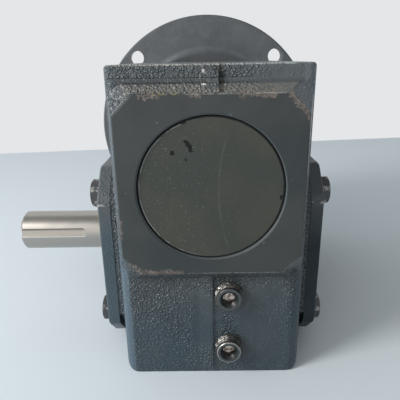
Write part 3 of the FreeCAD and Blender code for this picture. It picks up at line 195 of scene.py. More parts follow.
# Sand-cast skin: bumps on an uneven ground. Peaks picks out the tips of some of the bumps, which the paints
# make paler: rubbed paint, and painted glints on the housing. Sizes are in millimetres.
def makeCastGrain():
    look = castGrainLook
    tree, given, out = newGroup(
        "castGrain", {"Vector": None, "Grain": 1.6, "Lumps": 0.5}, ["Height", "Peaks"]
    )
    spot = scaled(tree, given["Vector"], calc(tree, "DIVIDE", 1.0, given["Grain"]))
    inputs = {"Vector": spot, "Scale": look["bendScale"], "Detail": 1.0}
    bend = addNode(tree, "ShaderNodeTexNoise", None, inputs).outputs[1]
    inputs = {0: bend, 1: (0.5, 0.5, 0.5)}
    bend = addNode(tree, "ShaderNodeVectorMath", {"operation": "SUBTRACT"}, inputs).outputs[0]
    inputs = {0: spot, 1: scaled(tree, bend, look["bendReach"])}
    bent = addNode(tree, "ShaderNodeVectorMath", {"operation": "ADD"}, inputs).outputs[0]
    cells = addNode(tree, "ShaderNodeTexVoronoi", None, {"Vector": bent, "Scale": 1.0})
    dome = times(tree, ease(tree, cells.outputs["Distance"], *look["dome"]), look["domeHeight"])
    fine = times(tree, noise(tree, spot, *look["fine"]), look["fineHeight"])
    lump = times(tree, noise(tree, spot, *look["lump"]), given["Lumps"])
    tree.links.new(plus(tree, dome, fine, lump), out["Height"])
    picked = addNode(tree, "ShaderNodeSeparateColor", None, {0: cells.outputs["Color"]}).outputs[0]
    tip = ease(tree, cells.outputs["Distance"], *look["tip"])
    tree.links.new(times(tree, tip, ease(tree, picked, *look["picked"])), out["Peaks"])


chippedEdgeLook = {
    "ragged": (0.55, 4.0, 0.65),
    "raggedReach": 1.6,
    "start": (0.0, 0.12),
    "cut": (0.42, 0.52),
}


# Paint knocked off near an outline. Distance is how far the outline is, in millimetres.
def makeChippedEdge():
    look = chippedEdgeLook
    tree, given, out = newGroup(
        "chippedEdge", {"Vector": None, "Distance": 0.0, "Width": 2.0, "Amount": 0.5}, ["Mask"]
    )
    away = calc(tree, "ABSOLUTE", given["Distance"])
    band = largest(tree, inverse(tree, calc(tree, "DIVIDE", away, given["Width"])), 0.0)
    ragged = minus(tree, noise(tree, given["Vector"], *look["ragged"]), 0.5)
    level = plus(tree, times(tree, band, given["Amount"]), times(tree, ragged, look["raggedReach"]))
    level = times(tree, level, ease(tree, band, *look["start"]))
    tree.links.new(ease(tree, level, *look["cut"]), out["Mask"])


# The smaller patterns: a noise's scale, detail, roughness and bend, and the steps of its fade
patternLook = {
    "fleckLeast": 0.4,
    "patch": (1.0, 3.0, 0.55, 0.4),
    "patchSteps": (0.3, 0.7),
    "lines": (1.0, 2.0, 0.6),
}


# Single specks of dust or bare metal. Share is how many of the cells hold one.
def makeDustFlecks():
    tree, given, out = newGroup(
        "dustFlecks", {"Vector": None, "Spacing": 3.0, "Size": 0.1, "Share": 0.3}, ["Mask"]
    )
    spot = scaled(tree, given["Vector"], calc(tree, "DIVIDE", 1.0, given["Spacing"]))
    cells = addNode(tree, "ShaderNodeTexVoronoi", None, {"Vector": spot, "Scale": 1.0})
    chosen = addNode(tree, "ShaderNodeSeparateColor", None, {0: cells.outputs["Color"]})
    chance = calc(tree, "LESS_THAN", chosen.outputs[0], given["Share"])
    reach = times(tree, given["Size"], plus(tree, chosen.outputs[1], patternLook["fleckLeast"]))
    inside = calc(tree, "LESS_THAN", cells.outputs["Distance"], reach)
    tree.links.new(times(tree, inside, chance), out["Mask"])


# Soft uneven areas, for colour and gloss that drift over a surface
def makeSoftPatches():
    tree, given, out = newGroup("softPatches", {"Vector": None, "Size": 20.0}, ["Value"])
    spot = scaled(tree, given["Vector"], calc(tree, "DIVIDE", 1.0, given["Size"]))
    drift = noise(tree, spot, *patternLook["patch"])
    tree.links.new(ease(tree, drift, *patternLook["patchSteps"]), out["Value"])


# Lines that a lathe or grinder leaves round a shaft. Along is the place along its axis, in millimetres.
def makeTurnedLines():
    tree, given, out = newGroup("turnedLines", {"Along": 0.0, "Pitch": 0.25}, ["Value"])
    line = calc(tree, "DIVIDE", given["Along"], given["Pitch"])
    spot = addNode(tree, "ShaderNodeCombineXYZ", None, {0: line, 1: 0.0, 2: 0.0})
    tree.links.new(noise(tree, spot.outputs[0], *patternLook["lines"]), out["Value"])


for makeGroup in (makeCastGrain, makeChippedEdge, makeDustFlecks, makeSoftPatches, makeTurnedLines):
    makeGroup()
print("shader groups built")


# A material with its Principled shader, and the place on the piece in millimetres
def newMaterial(name, settings):
    material = bpy.data.materials.new(name)
    material.use_nodes = True
    tree = material.node_tree
    shader = tree.nodes["Principled BSDF"]
    for label, value in settings.items():
        shader.inputs[label].default_value = value
    place = tree.nodes.new("ShaderNodeTexCoord").outputs["Object"]
    spot = scaled(tree, place, 1 / mm)
    axes = addNode(tree, "ShaderNodeSeparateXYZ", None, {0: spot}).outputs
    return material, tree, shader, spot, axes


def setBump(tree, shader, height, distance):
    bump = addNode(tree, "ShaderNodeBump", None, {"Strength": 1.0, "Distance": distance, "Height": height})
    tree.links.new(bump.outputs["Normal"], shader.inputs["Normal"])


def finishTones(tree, shader, colour, roughness, metallic=None):
    for label, value in (("Base Color", colour), ("Roughness", roughness), ("Metallic", metallic)):
        if value is not None:
            tree.links.new(value, shader.inputs[label])


castingLook = {
    "paint": tone(70, 77, 81),
    "paintedLightTop": tone(91, 96, 99),
    "paintedBlueReflection": tone(48, 65, 75),
    "paintedLightLeftEdge": tone(78, 97, 110),
    "paintedLightRight": tone(104, 111, 118),
    "paintShade": tone(26, 48, 60),
    "padEdgeHighlight": tone(150, 148, 140),
    "rubbedEdgeAndGlint": tone(190, 188, 180),
    "rubbedFarAndGlint": tone(184, 190, 194),
    "paintDeepAndShade": tone(36, 41, 45),
    "peakAndGlint": tone(178, 182, 184),
    "padPaint": tone(41, 47, 49),
    "dust": tone(118, 115, 107),
    "chip": tone(128, 117, 111),
    "chipDeep": tone(82, 75, 71),
    "bareAndGlint": tone(226, 227, 224),
    "paintedShadow": tone(26, 24, 22),
    "ochre": tone(150, 138, 98),
    "speck": tone(160, 160, 156),
    # Skin: its grain in millimetres, and how much of it each place has
    "grain": 1.2,
    "lumps": 0.5,
    "bump": 1.25 * mm,
    "waves": (0.09, 2.0, 0.5),
    "waveHeight": 0.3,
    "chipDepth": 0.1,
    "wallSkin": 0.5,
    "wallDrift": 0.45,
    "wallLeast": 0.1,
    "sideSkin": 0.75,
    "leastSkin": 0.12,
    "padSmooth": 0.975,
    # Shares and steps of the tones
    "patchSize": 17.0,
    "smoothest": (0.5, 0.15),
    "hollow": (0.35, 0.75, 1.0, 0.0),
    "hollowShare": 0.55,
    "dustPatches": ((0.9, 3.0, 0.6), (0.36, 0.62, 0.2, 0.7)),
    "topPatches": ((0.8, 3.0, 0.6), (0.35, 0.6, 0.25, 0.9)),
    "chipTones": ((1.2, 4.0, 0.7), (0.4, 0.62)),
    "chipPatches": ((0.9, 3.0, 0.7), (0.4, 0.56, 0.2, 0.9)),
    "ochrePatches": ((0.6, 2.0, 0.5), (0.5, 0.62, 0.0, 0.8)),
    "rimPatches": ((0.4, 3.0, 0.6), (0.38, 0.58, 0.1, 1.0)),
    "veilSize": 31.0,
    "veilShare": 0.08,
    "flecks": (3.6, 0.07, 0.25),
    "fleckShare": (0.0, 1.0, 0.5, 0.28),
    "gloss": (0.0, 1.0, 0.22, 0.33),
    "padDuller": 0.19,
    "wornDuller": 0.2,
    "boreEdge": (33.0, 32.3, 0.0, 0.4),
    # Shapes of the casting that the masks follow, in millimetres
    "padHalf": 39.0,
    "padBottom": 57.15,
    "padCorner": 8.5,
    "padFace": -68.5,
    "slopeFoot": 134.25,
    "plugShade": (9.2, 6.2, 0.0, 0.55),
    "plugShadePlaces": ((10.0, 43.0), (10.0, 14.4)),
}

# Where each tone or skin of the casting lies. Aside is the distance from the middle, and outline and corner
# are distances from the pad's outline and from its chamfers. Shoulder is 0 on the slope above the pad, and
# grows behind it.
castingMasks = {
    "rear": [("y", -60.5, -62.7)],
    "padFace": [("y", -68.18, -68.38)],
    "lipSkin": [("z", 132.5, 134.2), ("x", 2.0, 26.0, 1.0, 0.16), ("z", 138.5, 137.5, 1.0, 0.75)],
    "slopeSkin": [("y", -66.3, 1.5, 0.4), ("x", -20.0, 30.0, 0.75, 0.1), ("outline", -1.5, -0.8)],
    "coveSkin": [("z", 139.0, 0.6, 0.7), 0.8],
    "wall": [("z", 60.0, 57.0)],
    "wallRise": [("z", 8.0, 40.0, 0.75, 1.15)],
    "plainMiddle": [("x", -3.5, 1.5, 7.0), ("z", 30.0, 9.0, 9.0), 0.75],
    "plainSide": [("x", 24.0, 8.0, 8.0), ("z", 26.0, 15.0, 12.0), 0.5],
    "plainEnds": [("aside", 37.6, 39.0, 0.0, 0.85)],
    "nearRear": [("y", -35.0, -59.5, 0.15, 1.0)],
    # Low: a painted blue reflection of the floor on the lower rear wall
    "low": [("z", 62.0, 20.0), ("y", -30.0, -59.5, 0.4, 1.0)],
    # Upper: painted light on the lip, strongest at the left
    "upper": [("z", 131.0, 135.0), ("x", -5.0, 18.0, 1.0, 0.3)],
    "smoothWall": [("z", 58.0, 54.0), 0.35],
    # Cove: painted shade in the concave fillet below the lip
    "cove": [("z", 138.7, 0.9, 0.4), ("x", -5.0, 8.0, 0.6, 0.25)],
    # Left edge: a painted highlight on the rounded left corner
    "leftEdge": [("x", -36.5, -38.5), ("z", 75.0, 55.0, 0.35, 0.9)],
    # Facet, far end and far edge: painted light on the right facet and the upper right edge
    "facet": [("shoulder", 0.3, 1.0), ("y", -63.7, -64.4), ("corner", 0.2, 0.8, 0.0, 0.8)],
    "farEnd": [("x", 36.0, 38.5, 0.0, 0.8)],
    "farEdge": [("z", 108.0, 122.0), ("x", 20.0, 27.0)],
    "shaded": [("x", 34.5, 37.0, 0.0, 0.7), ("z", 62.0, 57.0)],
    "dusty": [("y", -66.3, 1.5, 0.7), ("z", 131.0, 133.5), ("z", 138.2, 137.0), ("x", 2.0, 22.0, 1.0, 0.75)],
    "stub": [("x", 1.0, 2.9, 0.4), ("z", 135.8, 136.6)],
    # Worn and lumpy: more painted glints near the pad's upper left corner and beside the stub
    "wornAndGlint": [("corner", 0.9, 0.7, 0.5), ("x", -26.0, -31.0), ("z", 122.0, 127.0), 2.0],
    "lumpy": [("x", -2.5, 2.5, 2.0), ("z", 133.0, 135.0)],
    "tips": [("z", 62.0, 56.0, 0.32, 0.33)],
    "topEdge": [
        ("z", 144.3, 144.7),
        ("y", -60.5, -62.0),
        ("x", -34.0, -16.0, 0.35, 0.9),
        ("x", 31.0, 35.0, 1.0, 0.15),
    ],
    "farTop": [("x", 0.0, 14.0)],
    # Painted shadow in the corner to the right of the stub
    "stubShadow": [("x", 4.4, 0.7, 0.8), ("z", 139.5, 4.2, 2.0), 0.7],
    # Dash and lobe: two painted highlights beside the stub
    "dash": [("x", -2.5, 0.7, 0.35), ("z", 137.5, 0.12, 0.28), 0.85],
    "lobe": [("x", -2.7, 0.15, 0.5), ("z", 142.5, 0.3, 0.7), 0.85],
    "ochre": [("outline", 0.1, 0.3, 0.3), ("x", -18.5, 5.0, 1.5), ("z", 125.0, 132.0)],
    # Rim: a painted highlight along the pad's top and bottom outline
    "rimTop": [("z", 128.0, 131.0, 0.0, 0.6)],
    "rimBottom": [("z", 66.0, 62.0, 0.0, 0.4)],
    "rim": [("outline", -0.1, 0.15, 0.25), ("x", -14.0, -6.0), ("x", 27.0, 30.0, 1.0, 0.45)],
}


# Where the pad's outline is: 0 on it, negative inside, in millimetres
def padOutline(tree, x, z):
    look = castingLook
    side = minus(tree, calc(tree, "ABSOLUTE", x), look["padHalf"])
    top = minus(tree, z, reducer["wormHeight"] + look["padHalf"])
    bottom = minus(tree, look["padBottom"], z)
    ends = largest(tree, top, bottom)
    corner = times(tree, plus(tree, side, ends, look["padCorner"]), math.sqrt(0.5))
    return largest(tree, side, ends, corner), corner


# How rough the skin is: sand on the lip, the slopes and the wall below, smooth on the pad
def skinRoughness(tree, mask, drift, rear, padFace):
    look = castingLook
    lip = times(tree, mask("lipSkin"), rear)
    wall = plus(tree, times(tree, drift, look["wallDrift"]), look["wallSkin"])
    wall = times(tree, wall, mask("wallRise"))
    wall = minus(tree, wall, mask("plainMiddle"), mask("plainSide"), mask("plainEnds"))
    wall = times(tree, largest(tree, wall, look["wallLeast"]), mask("wall"), rear)
    sides = times(tree, inverse(tree, rear), look["sideSkin"])
    rough = largest(tree, lip, wall, sides, look["leastSkin"], mask("slopeSkin"))
    cove = times(tree, mask("coveSkin"), rear)
    pad = times(tree, padFace, look["padSmooth"])
    return times(tree, rough, inverse(tree, cove), inverse(tree, pad))


chipLook = {
    "topStretches": ((-24.0, 3.6, 1.5), (-6.2, 1.8, 1.2), (18.0, 6.0, 3.0)),
    "top": [("z", 115.0, 125.0)],
    "right": [("corner", -5.0, -1.0), ("x", 27.0, 32.0), ("z", 105.0, 115.0)],
    "bottom": [("x", -25.0, 11.0, 3.0), ("z", 65.0, 60.0)],
    "left": [("z", 78.0, 4.0, 2.0), ("x", -30.0, -34.0, 0.0, 0.6)],
    "front": [("y", -67.0, -67.6)],
    "inPlaces": 0.85,
    "everywhere": 0.1,
    "inset": 0.3,
    "width": 2.9,
    "rightNarrower": 0.3,
}


# Where paint is knocked off the pad's outline, most of it in the places above
def padChips(tree, spot, here):
    look = chipLook
    stretches = [window(tree, here["x"], *stretch) for stretch in look["topStretches"]]
    top = times(tree, largest(tree, *stretches), maskOf(tree, here, look["top"]))
    right, bottom, left = (maskOf(tree, here, look[side]) for side in ("right", "bottom", "left"))
    places = largest(tree, top, right, bottom, left)
    amount = plus(tree, times(tree, places, look["inPlaces"]), look["everywhere"])
    away = plus(tree, here["outline"], look["inset"])
    width = minus(tree, look["width"], times(tree, right, look["rightNarrower"]))
    inputs = {"Vector": spot, "Distance": away, "Width": width, "Amount": amount}
    chips = useGroup(tree, "chippedEdge", inputs)["Mask"]
    return times(tree, chips, maskOf(tree, here, look["front"]))


def makeHousingPaint():
    look = castingLook
    material, tree, shader, spot, (x, y, z) = newMaterial("housingPaint", {"Specular IOR Level": 0.5})
    outline, corner = padOutline(tree, x, z)
    shoulder = minus(tree, minus(tree, y, look["padFace"]), minus(tree, z, look["slopeFoot"]))
    here = {"x": x, "y": y, "z": z, "aside": calc(tree, "ABSOLUTE", x)}
    here.update({"outline": outline, "corner": corner, "shoulder": shoulder})

    def mask(name):
        return maskOf(tree, here, castingMasks[name])

    def coat(colour, share, finish):
        return blendTones(tree, share, colour, look[finish])

    drift = patches(tree, spot, look["patchSize"])
    rear, padFace, nearRear = mask("rear"), mask("padFace"), mask("nearRear")
    rough = skinRoughness(tree, mask, drift, rear, padFace)
    chips = padChips(tree, spot, here)
    grain = useGroup(tree, "castGrain", {"Vector": spot, "Grain": look["grain"], "Lumps": look["lumps"]})
    height = times(tree, grain["Height"], rough)
    height = plus(tree, height, times(tree, noise(tree, spot, *look["waves"]), look["waveHeight"]))
    height = minus(tree, height, times(tree, chips, look["chipDepth"]))
    setBump(tree, shader, height, look["bump"])

    # The paint: a painted blue reflection low down, painted light up high, at the left edge and on the right
    # facet, painted shade on the lower right, in the cove and in the hollows of the skin, and deeper where it is
    # smooth
    colour = blendTones(tree, mask("low"), look["paint"], look["paintedBlueReflection"])
    colour = coat(colour, mask("upper"), "paintedLightTop")
    smoothWall = times(tree, ease(tree, rough, *look["smoothest"]), mask("smoothWall"), rear)
    colour = coat(colour, smoothWall, "paintDeepAndShade")
    colour = coat(colour, times(tree, mask("cove"), rear), "paintDeepAndShade")
    colour = coat(colour, times(tree, mask("leftEdge"), nearRear), "paintedLightLeftEdge")
    facet = mask("facet")
    farEdge = times(tree, largest(tree, mask("farEnd"), facet), mask("farEdge"), nearRear)
    colour = coat(colour, farEdge, "paintedLightRight")
    colour = coat(colour, times(tree, mask("shaded"), nearRear), "paintShade")
    # Painted shade in the hollows of the skin
    hollow = ease(tree, grain["Height"], *look["hollow"])
    colour = coat(colour, times(tree, hollow, rough, look["hollowShare"]), "paintDeepAndShade")
    colour = coat(colour, padFace, "padPaint")

    # Dust on the slopes above the pad, and pale tips of the skin: rubbed paint and painted glints
    dusty = times(tree, mask("dusty"), patchy(tree, spot, *look["dustPatches"]))
    dusty = times(tree, dusty, inverse(tree, facet), inverse(tree, mask("stub")))
    colour = coat(colour, dusty, "dust")
    share = times(tree, plus(tree, rough, mask("wornAndGlint"), mask("lumpy")), mask("tips"))
    peaksAndGlints = smallest(tree, times(tree, grain["Peaks"], share), 1.0)
    colour = coat(colour, peaksAndGlints, "peakAndGlint")

    # The top's edge is rubbed paint with a painted highlight. Painted shadow lies in the stub's corner and to
    # the right of the pipe plugs, and two painted highlights stand beside the stub.
    topEdge = times(tree, mask("topEdge"), patchy(tree, spot, *look["topPatches"]))
    rubbedAndGlint = blendTones(tree, mask("farTop"), look["rubbedEdgeAndGlint"], look["rubbedFarAndGlint"])
    colour = blendTones(tree, topEdge, colour, rubbedAndGlint)
    colour = coat(colour, mask("stubShadow"), "paintedShadow")
    for place in look["plugShadePlaces"]:
        shade = ease(tree, distanceTo(tree, x, z, *place), *look["plugShade"])
        colour = coat(colour, times(tree, shade, rear), "paintedShadow")
    colour = coat(colour, largest(tree, mask("dash"), mask("lobe")), "bareAndGlint")
    colour = coat(colour, times(tree, patches(tree, spot, look["veilSize"]), look["veilShare"]), "dust")

    # Chips on the pad's outline, an ochre stretch, a painted highlight along the outline, and specks
    bareAndGlint = blendTones(tree, patchy(tree, spot, *look["chipTones"]), look["chipDeep"], look["chip"])
    mottled = times(tree, chips, patchy(tree, spot, *look["chipPatches"]))
    colour = blendTones(tree, mottled, colour, bareAndGlint)
    colour = coat(colour, times(tree, mask("ochre"), patchy(tree, spot, *look["ochrePatches"])), "ochre")
    rim = times(tree, largest(tree, mask("rimTop"), mask("rimBottom")), mask("rim"))
    colour = coat(colour, times(tree, rim, patchy(tree, spot, *look["rimPatches"])), "padEdgeHighlight")
    specks = flecks(tree, spot, *look["flecks"])
    colour = coat(colour, times(tree, specks, ease(tree, padFace, *look["fleckShare"])), "speck")

    gloss = ease(tree, drift, *look["gloss"])
    gloss = plus(tree, gloss, times(tree, padFace, look["padDuller"]))
    gloss = plus(tree, gloss, times(tree, largest(tree, chips, dusty), look["wornDuller"]))
    boreEdge = ease(tree, distanceTo(tree, x, z, 0.0, reducer["wormHeight"]), *look["boreEdge"])
    gloss = plus(tree, gloss, times(tree, boreEdge, rear, inverse(tree, padFace)))
    finishTones(tree, shader, colour, gloss)
    return material


partLook = {
    "shade": tone(46, 50, 54),
    "wornAndGlint": tone(104, 94, 88),
    "rubbedAndGlint": tone(168, 168, 164),
    "speck": tone(150, 150, 148),
    "lumps": 0.4,
    "bump": 0.5 * mm,
    "waves": (0.12, 2.0, 0.5),
    "waveHeight": 0.4,
    "patchSize": 14.0,
    "leastSkin": 0.6,
    "wear": (0.45, 4.0, 0.7),
    "wearSteps": (0.72, 0.8),
    "wearShare": 0.5,
    "flecks": (3.4, 0.07, 0.3),
    "fleckShare": 0.45,
    "lowPaintedLight": [("z", 88.0, 58.0, 0.0, 0.85), ("y", -24.0, -44.0, 0.3, 1.0)],
    "cornerPatches": ((0.5, 3.0, 0.6), (0.48, 0.58)),
    "cornerShare": 0.75,
    "coverCorner": [("z", 82.0, 0.3, 0.4), ("y", -38.0, -42.0)],
    "boltCorner": (6.6, 6.85),
    "gloss": (0.0, 1.0, 0.33, 0.46),
    "wornDuller": 0.15,
}


# The rim of each bolt's head, where paint is rubbed off first and painted glints lie
def boltCorners(tree, here):
    aside = calc(tree, "ABSOLUTE", here["y"])
    above = calc(tree, "ABSOLUTE", minus(tree, here["z"], reducer["shaftHeight"]))
    step = reducer["boltSpacing"] / 2
    return ease(tree, distanceTo(tree, aside, above, step, step), *partLook["boltCorner"])


# The upper corner of a cover's edge, with rubbed paint and painted glints
def coverCorner(tree, here):
    return maskOf(tree, here, partLook["coverCorner"])


# Low is the tone towards the floor: a painted blue reflection on the left cover and painted shade on the right
# one. Deep is where the tone is in painted shade, and the last finds rubbed corners, which also hold painted
# glints
partPaints = {
    "leftCoverPaint": {
        "paint": tone(80, 86, 90),
        "shade": tone(70, 76, 80),
        # A painted blue reflection on the cover's lower part
        "low": tone(56, 74, 84),
        "grain": 1.1,
        "skin": 0.5,
        "wear": 0.02,
        "shine": 0.5,
        "rubbedAndGlintAt": coverCorner,
    },
    "rightCoverPaint": {
        "paint": tone(80, 84, 87),
        "shade": tone(70, 74, 77),
        # Painted shade on the cover's lower part
        "low": tone(10, 30, 38),
        "grain": 1.1,
        "skin": 0.5,
        "wear": 0.02,
        "shine": 0.25,
        "rubbedAndGlintAt": coverCorner,
    },
    # The flange: paler than the housing's paint as painted light, with painted shade towards its neck
    "flangePaint": {
        "paint": tone(87, 91, 95),
        "shade": tone(77, 81, 85),
        "grain": 0.9,
        "skin": 0.3,
        "wear": 0.0,
        "shine": 0.5,
        "deep": [("y", 96.0, 86.0, 0.0, 0.45)],
    },
    "boltPaint": {
        "paint": tone(70, 72, 74),
        "shade": tone(56, 58, 61),
        "grain": 0.7,
        "skin": 0.22,
        "wear": 0.03,
        "shine": 0.5,
        "rubbedAndGlintAt": boltCorners,
    },
}


# Paint on the smaller castings, the bolts and the flange: finer skin, a little wear
def makePartPaint(name, part):
    look = partLook
    material, tree, shader, spot, (x, y, z) = newMaterial(name, {"Specular IOR Level": part["shine"]})
    here = {"x": x, "y": y, "z": z}
    grain = useGroup(tree, "castGrain", {"Vector": spot, "Grain": part["grain"], "Lumps": look["lumps"]})
    drift = patches(tree, spot, look["patchSize"])
    share = ease(tree, drift, 0.0, 1.0, part["skin"] * look["leastSkin"], part["skin"])
    height = times(tree, grain["Height"], share)
    height = plus(tree, height, times(tree, noise(tree, spot, *look["waves"]), look["waveHeight"]))
    setBump(tree, shader, height, look["bump"])
    colour = blendTones(tree, drift, part["paint"], part["shade"])
    colour = blendTones(tree, times(tree, grain["Peaks"], share), colour, look["wornAndGlint"])
    steps = [step - part["wear"] for step in look["wearSteps"]]
    wornAndGlint = ease(tree, noise(tree, spot, *look["wear"]), *steps)
    colour = blendTones(tree, times(tree, wornAndGlint, look["wearShare"]), colour, look["wornAndGlint"])
    specks = times(tree, flecks(tree, spot, *look["flecks"]), look["fleckShare"])
    colour = blendTones(tree, specks, colour, look["speck"])
    if "low" in part:
        colour = blendTones(tree, maskOf(tree, here, look["lowPaintedLight"]), colour, part["low"])
    if "rubbedAndGlintAt" in part:
        bareAndGlint = times(tree, part["rubbedAndGlintAt"](tree, here), patchy(tree, spot, *look["cornerPatches"]))
        colour = blendTones(tree, times(tree, bareAndGlint, look["cornerShare"]), colour, look["rubbedAndGlint"])
    if "deep" in part:
        colour = blendTones(tree, maskOf(tree, here, part["deep"]), colour, look["shade"])
    gloss = ease(tree, drift, *look["gloss"])
    finishTones(tree, shader, colour, plus(tree, gloss, times(tree, wornAndGlint, look["wornDuller"])))
    return material


borePlugLook = {
    "face": tone(59, 60, 52),
    "faceCool": tone(51, 55, 51),
    "ring": tone(10, 10, 10),
    "edge": tone(128, 132, 130),
    "speck": tone(150, 150, 138),
    "patchSize": 26.0,
    # Pale dust, more of it on the left half
    "dust": (0.9, 0.3, 0.34),
    "dustShare": 0.26,
    "dots": (2.6, 0.1, 0.34),
    "dotShare": 0.5,
    "dustAcross": (12.0, -12.0, 0.25, 0.9),
    # Black flecks: where they are, how large, and how ragged
    "blackFlecks": (
        (-9.85, 115.5, 0.75),
        (-9.1, 114.6, 0.8),
        (-8.5, 113.6, 0.85),
        (-7.95, 112.2, 0.65),
        (-15.6, 111.1, 0.8),
        (-10.05, 108.2, 0.4),
        (-10.4, 123.4, 0.5),
        (29.3, 91.6, 0.8),
        (30.0, 96.4, 0.5),
        (-11.3, 122.9, 0.5),
    ),
    "ragged": (1.1, 3.0, 0.7),
    "raggedReach": 2.6,
    "fleckSoft": 0.2,
    "fleckDepth": 0.5,
    # The long scratch is an arc
    "scratchMiddle": (83.54, 94.66),
    "scratchRadius": 80.38,
    "scratch": [("away", 0.0, 0.15, 0.5), ("z", 93.0, 20.0, 7.0)],
    "scratchPatches": ((0.25, 3.0, 0.6), (0.3, 0.6, 0.02, 0.07)),
    # The dark ring round the face is black sealant with painted shade in the gap, thicker towards the upper
    # right, and has an uneven start
    "ringReach": (30.15, 30.27),
    "uneven": (0.25, 3.0, 0.6),
    "unevenReach": 0.5,
    "narrower": (70.0, 130.0, 0.0, 0.3),
    # A painted highlight on the plug's rim at the left
    "edgePlace": [("reach", 29.93, 0.1, 0.15), ("x", -2.0, -14.0)],
    "edgePatches": ((0.3, 2.0, 0.5), (0.36, 0.55, 0.0, 0.7)),
    "gloss": (0.0, 1.0, 0.46, 0.56),
    "darkDuller": 0.3,
    "bump": 0.2 * mm,
    "skin": (1.6, 2.0, 0.5),
    "skinHeight": 0.14,
    "waves": (0.07, 2.0, 0.5),
    "waveHeight": 0.8,
}


def makeBorePlugPaint():
    look = borePlugLook
    material, tree, shader, spot, (x, y, z) = newMaterial("borePlugPaint", {"Specular IOR Level": 0.45})
    drift = patches(tree, spot, look["patchSize"])
    colour = blendTones(tree, drift, look["face"], look["faceCool"])
    dust = times(tree, flecks(tree, spot, *look["dust"]), look["dustShare"])
    dots = times(tree, flecks(tree, spot, *look["dots"]), look["dotShare"])
    specks = times(tree, largest(tree, dust, dots), ease(tree, x, *look["dustAcross"]))
    colour = blendTones(tree, specks, colour, look["speck"])

    ragged = times(tree, minus(tree, noise(tree, spot, *look["ragged"]), 0.5), look["raggedReach"])
    black = []
    for fleckX, fleckZ, size in look["blackFlecks"]:
        away = plus(tree, distanceTo(tree, x, z, fleckX, fleckZ), ragged)
        black.append(ease(tree, away, size, size + look["fleckSoft"], 1.0, 0.0))
    black = largest(tree, *black)

    away = minus(tree, distanceTo(tree, x, z, *look["scratchMiddle"]), look["scratchRadius"])
    uneven = times(tree, minus(tree, noise(tree, spot, *look["uneven"]), 0.5), look["unevenReach"])
    radius = distanceTo(tree, x, z, 0.0, reducer["wormHeight"])
    reach = plus(tree, radius, uneven, ease(tree, plus(tree, x, z), *look["narrower"]))
    here = {"x": x, "z": z, "away": away, "reach": reach}
    scratch = times(tree, maskOf(tree, here, look["scratch"]), patchy(tree, spot, *look["scratchPatches"]))
    colour = blendTones(tree, scratch, colour, look["speck"])
    edge = times(tree, maskOf(tree, here, look["edgePlace"]), patchy(tree, spot, *look["edgePatches"]))
    colour = blendTones(tree, edge, colour, look["edge"])
    dark = largest(tree, ease(tree, reach, *look["ringReach"]), black)
    colour = blendTones(tree, dark, colour, look["ring"])
    gloss = plus(tree, ease(tree, drift, *look["gloss"]), times(tree, dark, look["darkDuller"]))
    finishTones(tree, shader, colour, gloss)

    height = times(tree, noise(tree, spot, *look["skin"]), look["skinHeight"])
    height = plus(tree, height, times(tree, noise(tree, spot, *look["waves"]), look["waveHeight"]))
    setBump(tree, shader, minus(tree, height, times(tree, black, look["fleckDepth"])), look["bump"])
    return material


# Across is the place over the keyway's width, from its lower edge to its upper one. Outward is how far from
# the shaft's middle.
keywayLook = {
    "angle": math.radians(78),
    "paintedCornerShade": tone(66, 64, 62),
    "glint": tone(244, 242, 238),
    "length": [("x", -70.5, -73.5), ("x", -109.45, -109.3)],
    "paintedCornerShadePlace": [("aside", 2.48, 2.38), ("outward", 10.61, 9.91), ("across", 0.2, 2.1, 0.0, 0.85)],
    "glintPlace": [("across", -2.38, 0.2, 0.3), ("outward", 8.71, 9.11), 0.9],
}


# Painted shade in the keyway's upper corner, and a painted glint along its polished lower edge
def keywayTones(tree, colour, x, y, z):
    look = keywayLook
    above = minus(tree, z, reducer["shaftHeight"])
    cosine, sine = math.cos(look["angle"]), math.sin(look["angle"])
    across = plus(tree, times(tree, y, cosine), times(tree, above, sine))
    outward = minus(tree, times(tree, above, cosine), times(tree, y, sine))
    here = {"x": x, "across": across, "aside": calc(tree, "ABSOLUTE", across), "outward": outward}
    colour = blendTones(tree, maskOf(tree, here, look["length"] + look["paintedCornerShadePlace"]), colour, look["paintedCornerShade"])
    return blendTones(tree, maskOf(tree, here, look["length"] + look["glintPlace"]), colour, look["glint"])


# Axis is the one that the piece was turned about, and stain is how dark its marks are
turnedSteels = {
    "groundSteel": {"axis": "X", "tone": tone(174, 170, 164), "gloss": 0.29, "pitch": 0.5, "stain": 0.9},
    "wormSteel": {"axis": "Y", "tone": tone(176, 174, 172), "gloss": 0.26, "pitch": 0.35, "stain": 0.7},
    "bearingSteelAcross": {"axis": "X", "tone": tone(200, 202, 204), "gloss": 0.16, "pitch": 0.3, "stain": 0.82},
    "bearingSteelAlong": {"axis": "Y", "tone": tone(200, 202, 204), "gloss": 0.16, "pitch": 0.3, "stain": 0.82},
}
turnedLook = {
    "patchSize": 9.0,
    "marks": ((0.5, 5.0, 0.7), (0.56, 0.76)),
    "markShare": 0.6,
    "lineShare": 0.15,
    "lineSteps": (0.3, 0.7),
    "lineGloss": (-0.01, 0.015),
    "driftGloss": 0.05,
    "bump": 0.0008 * mm,
}


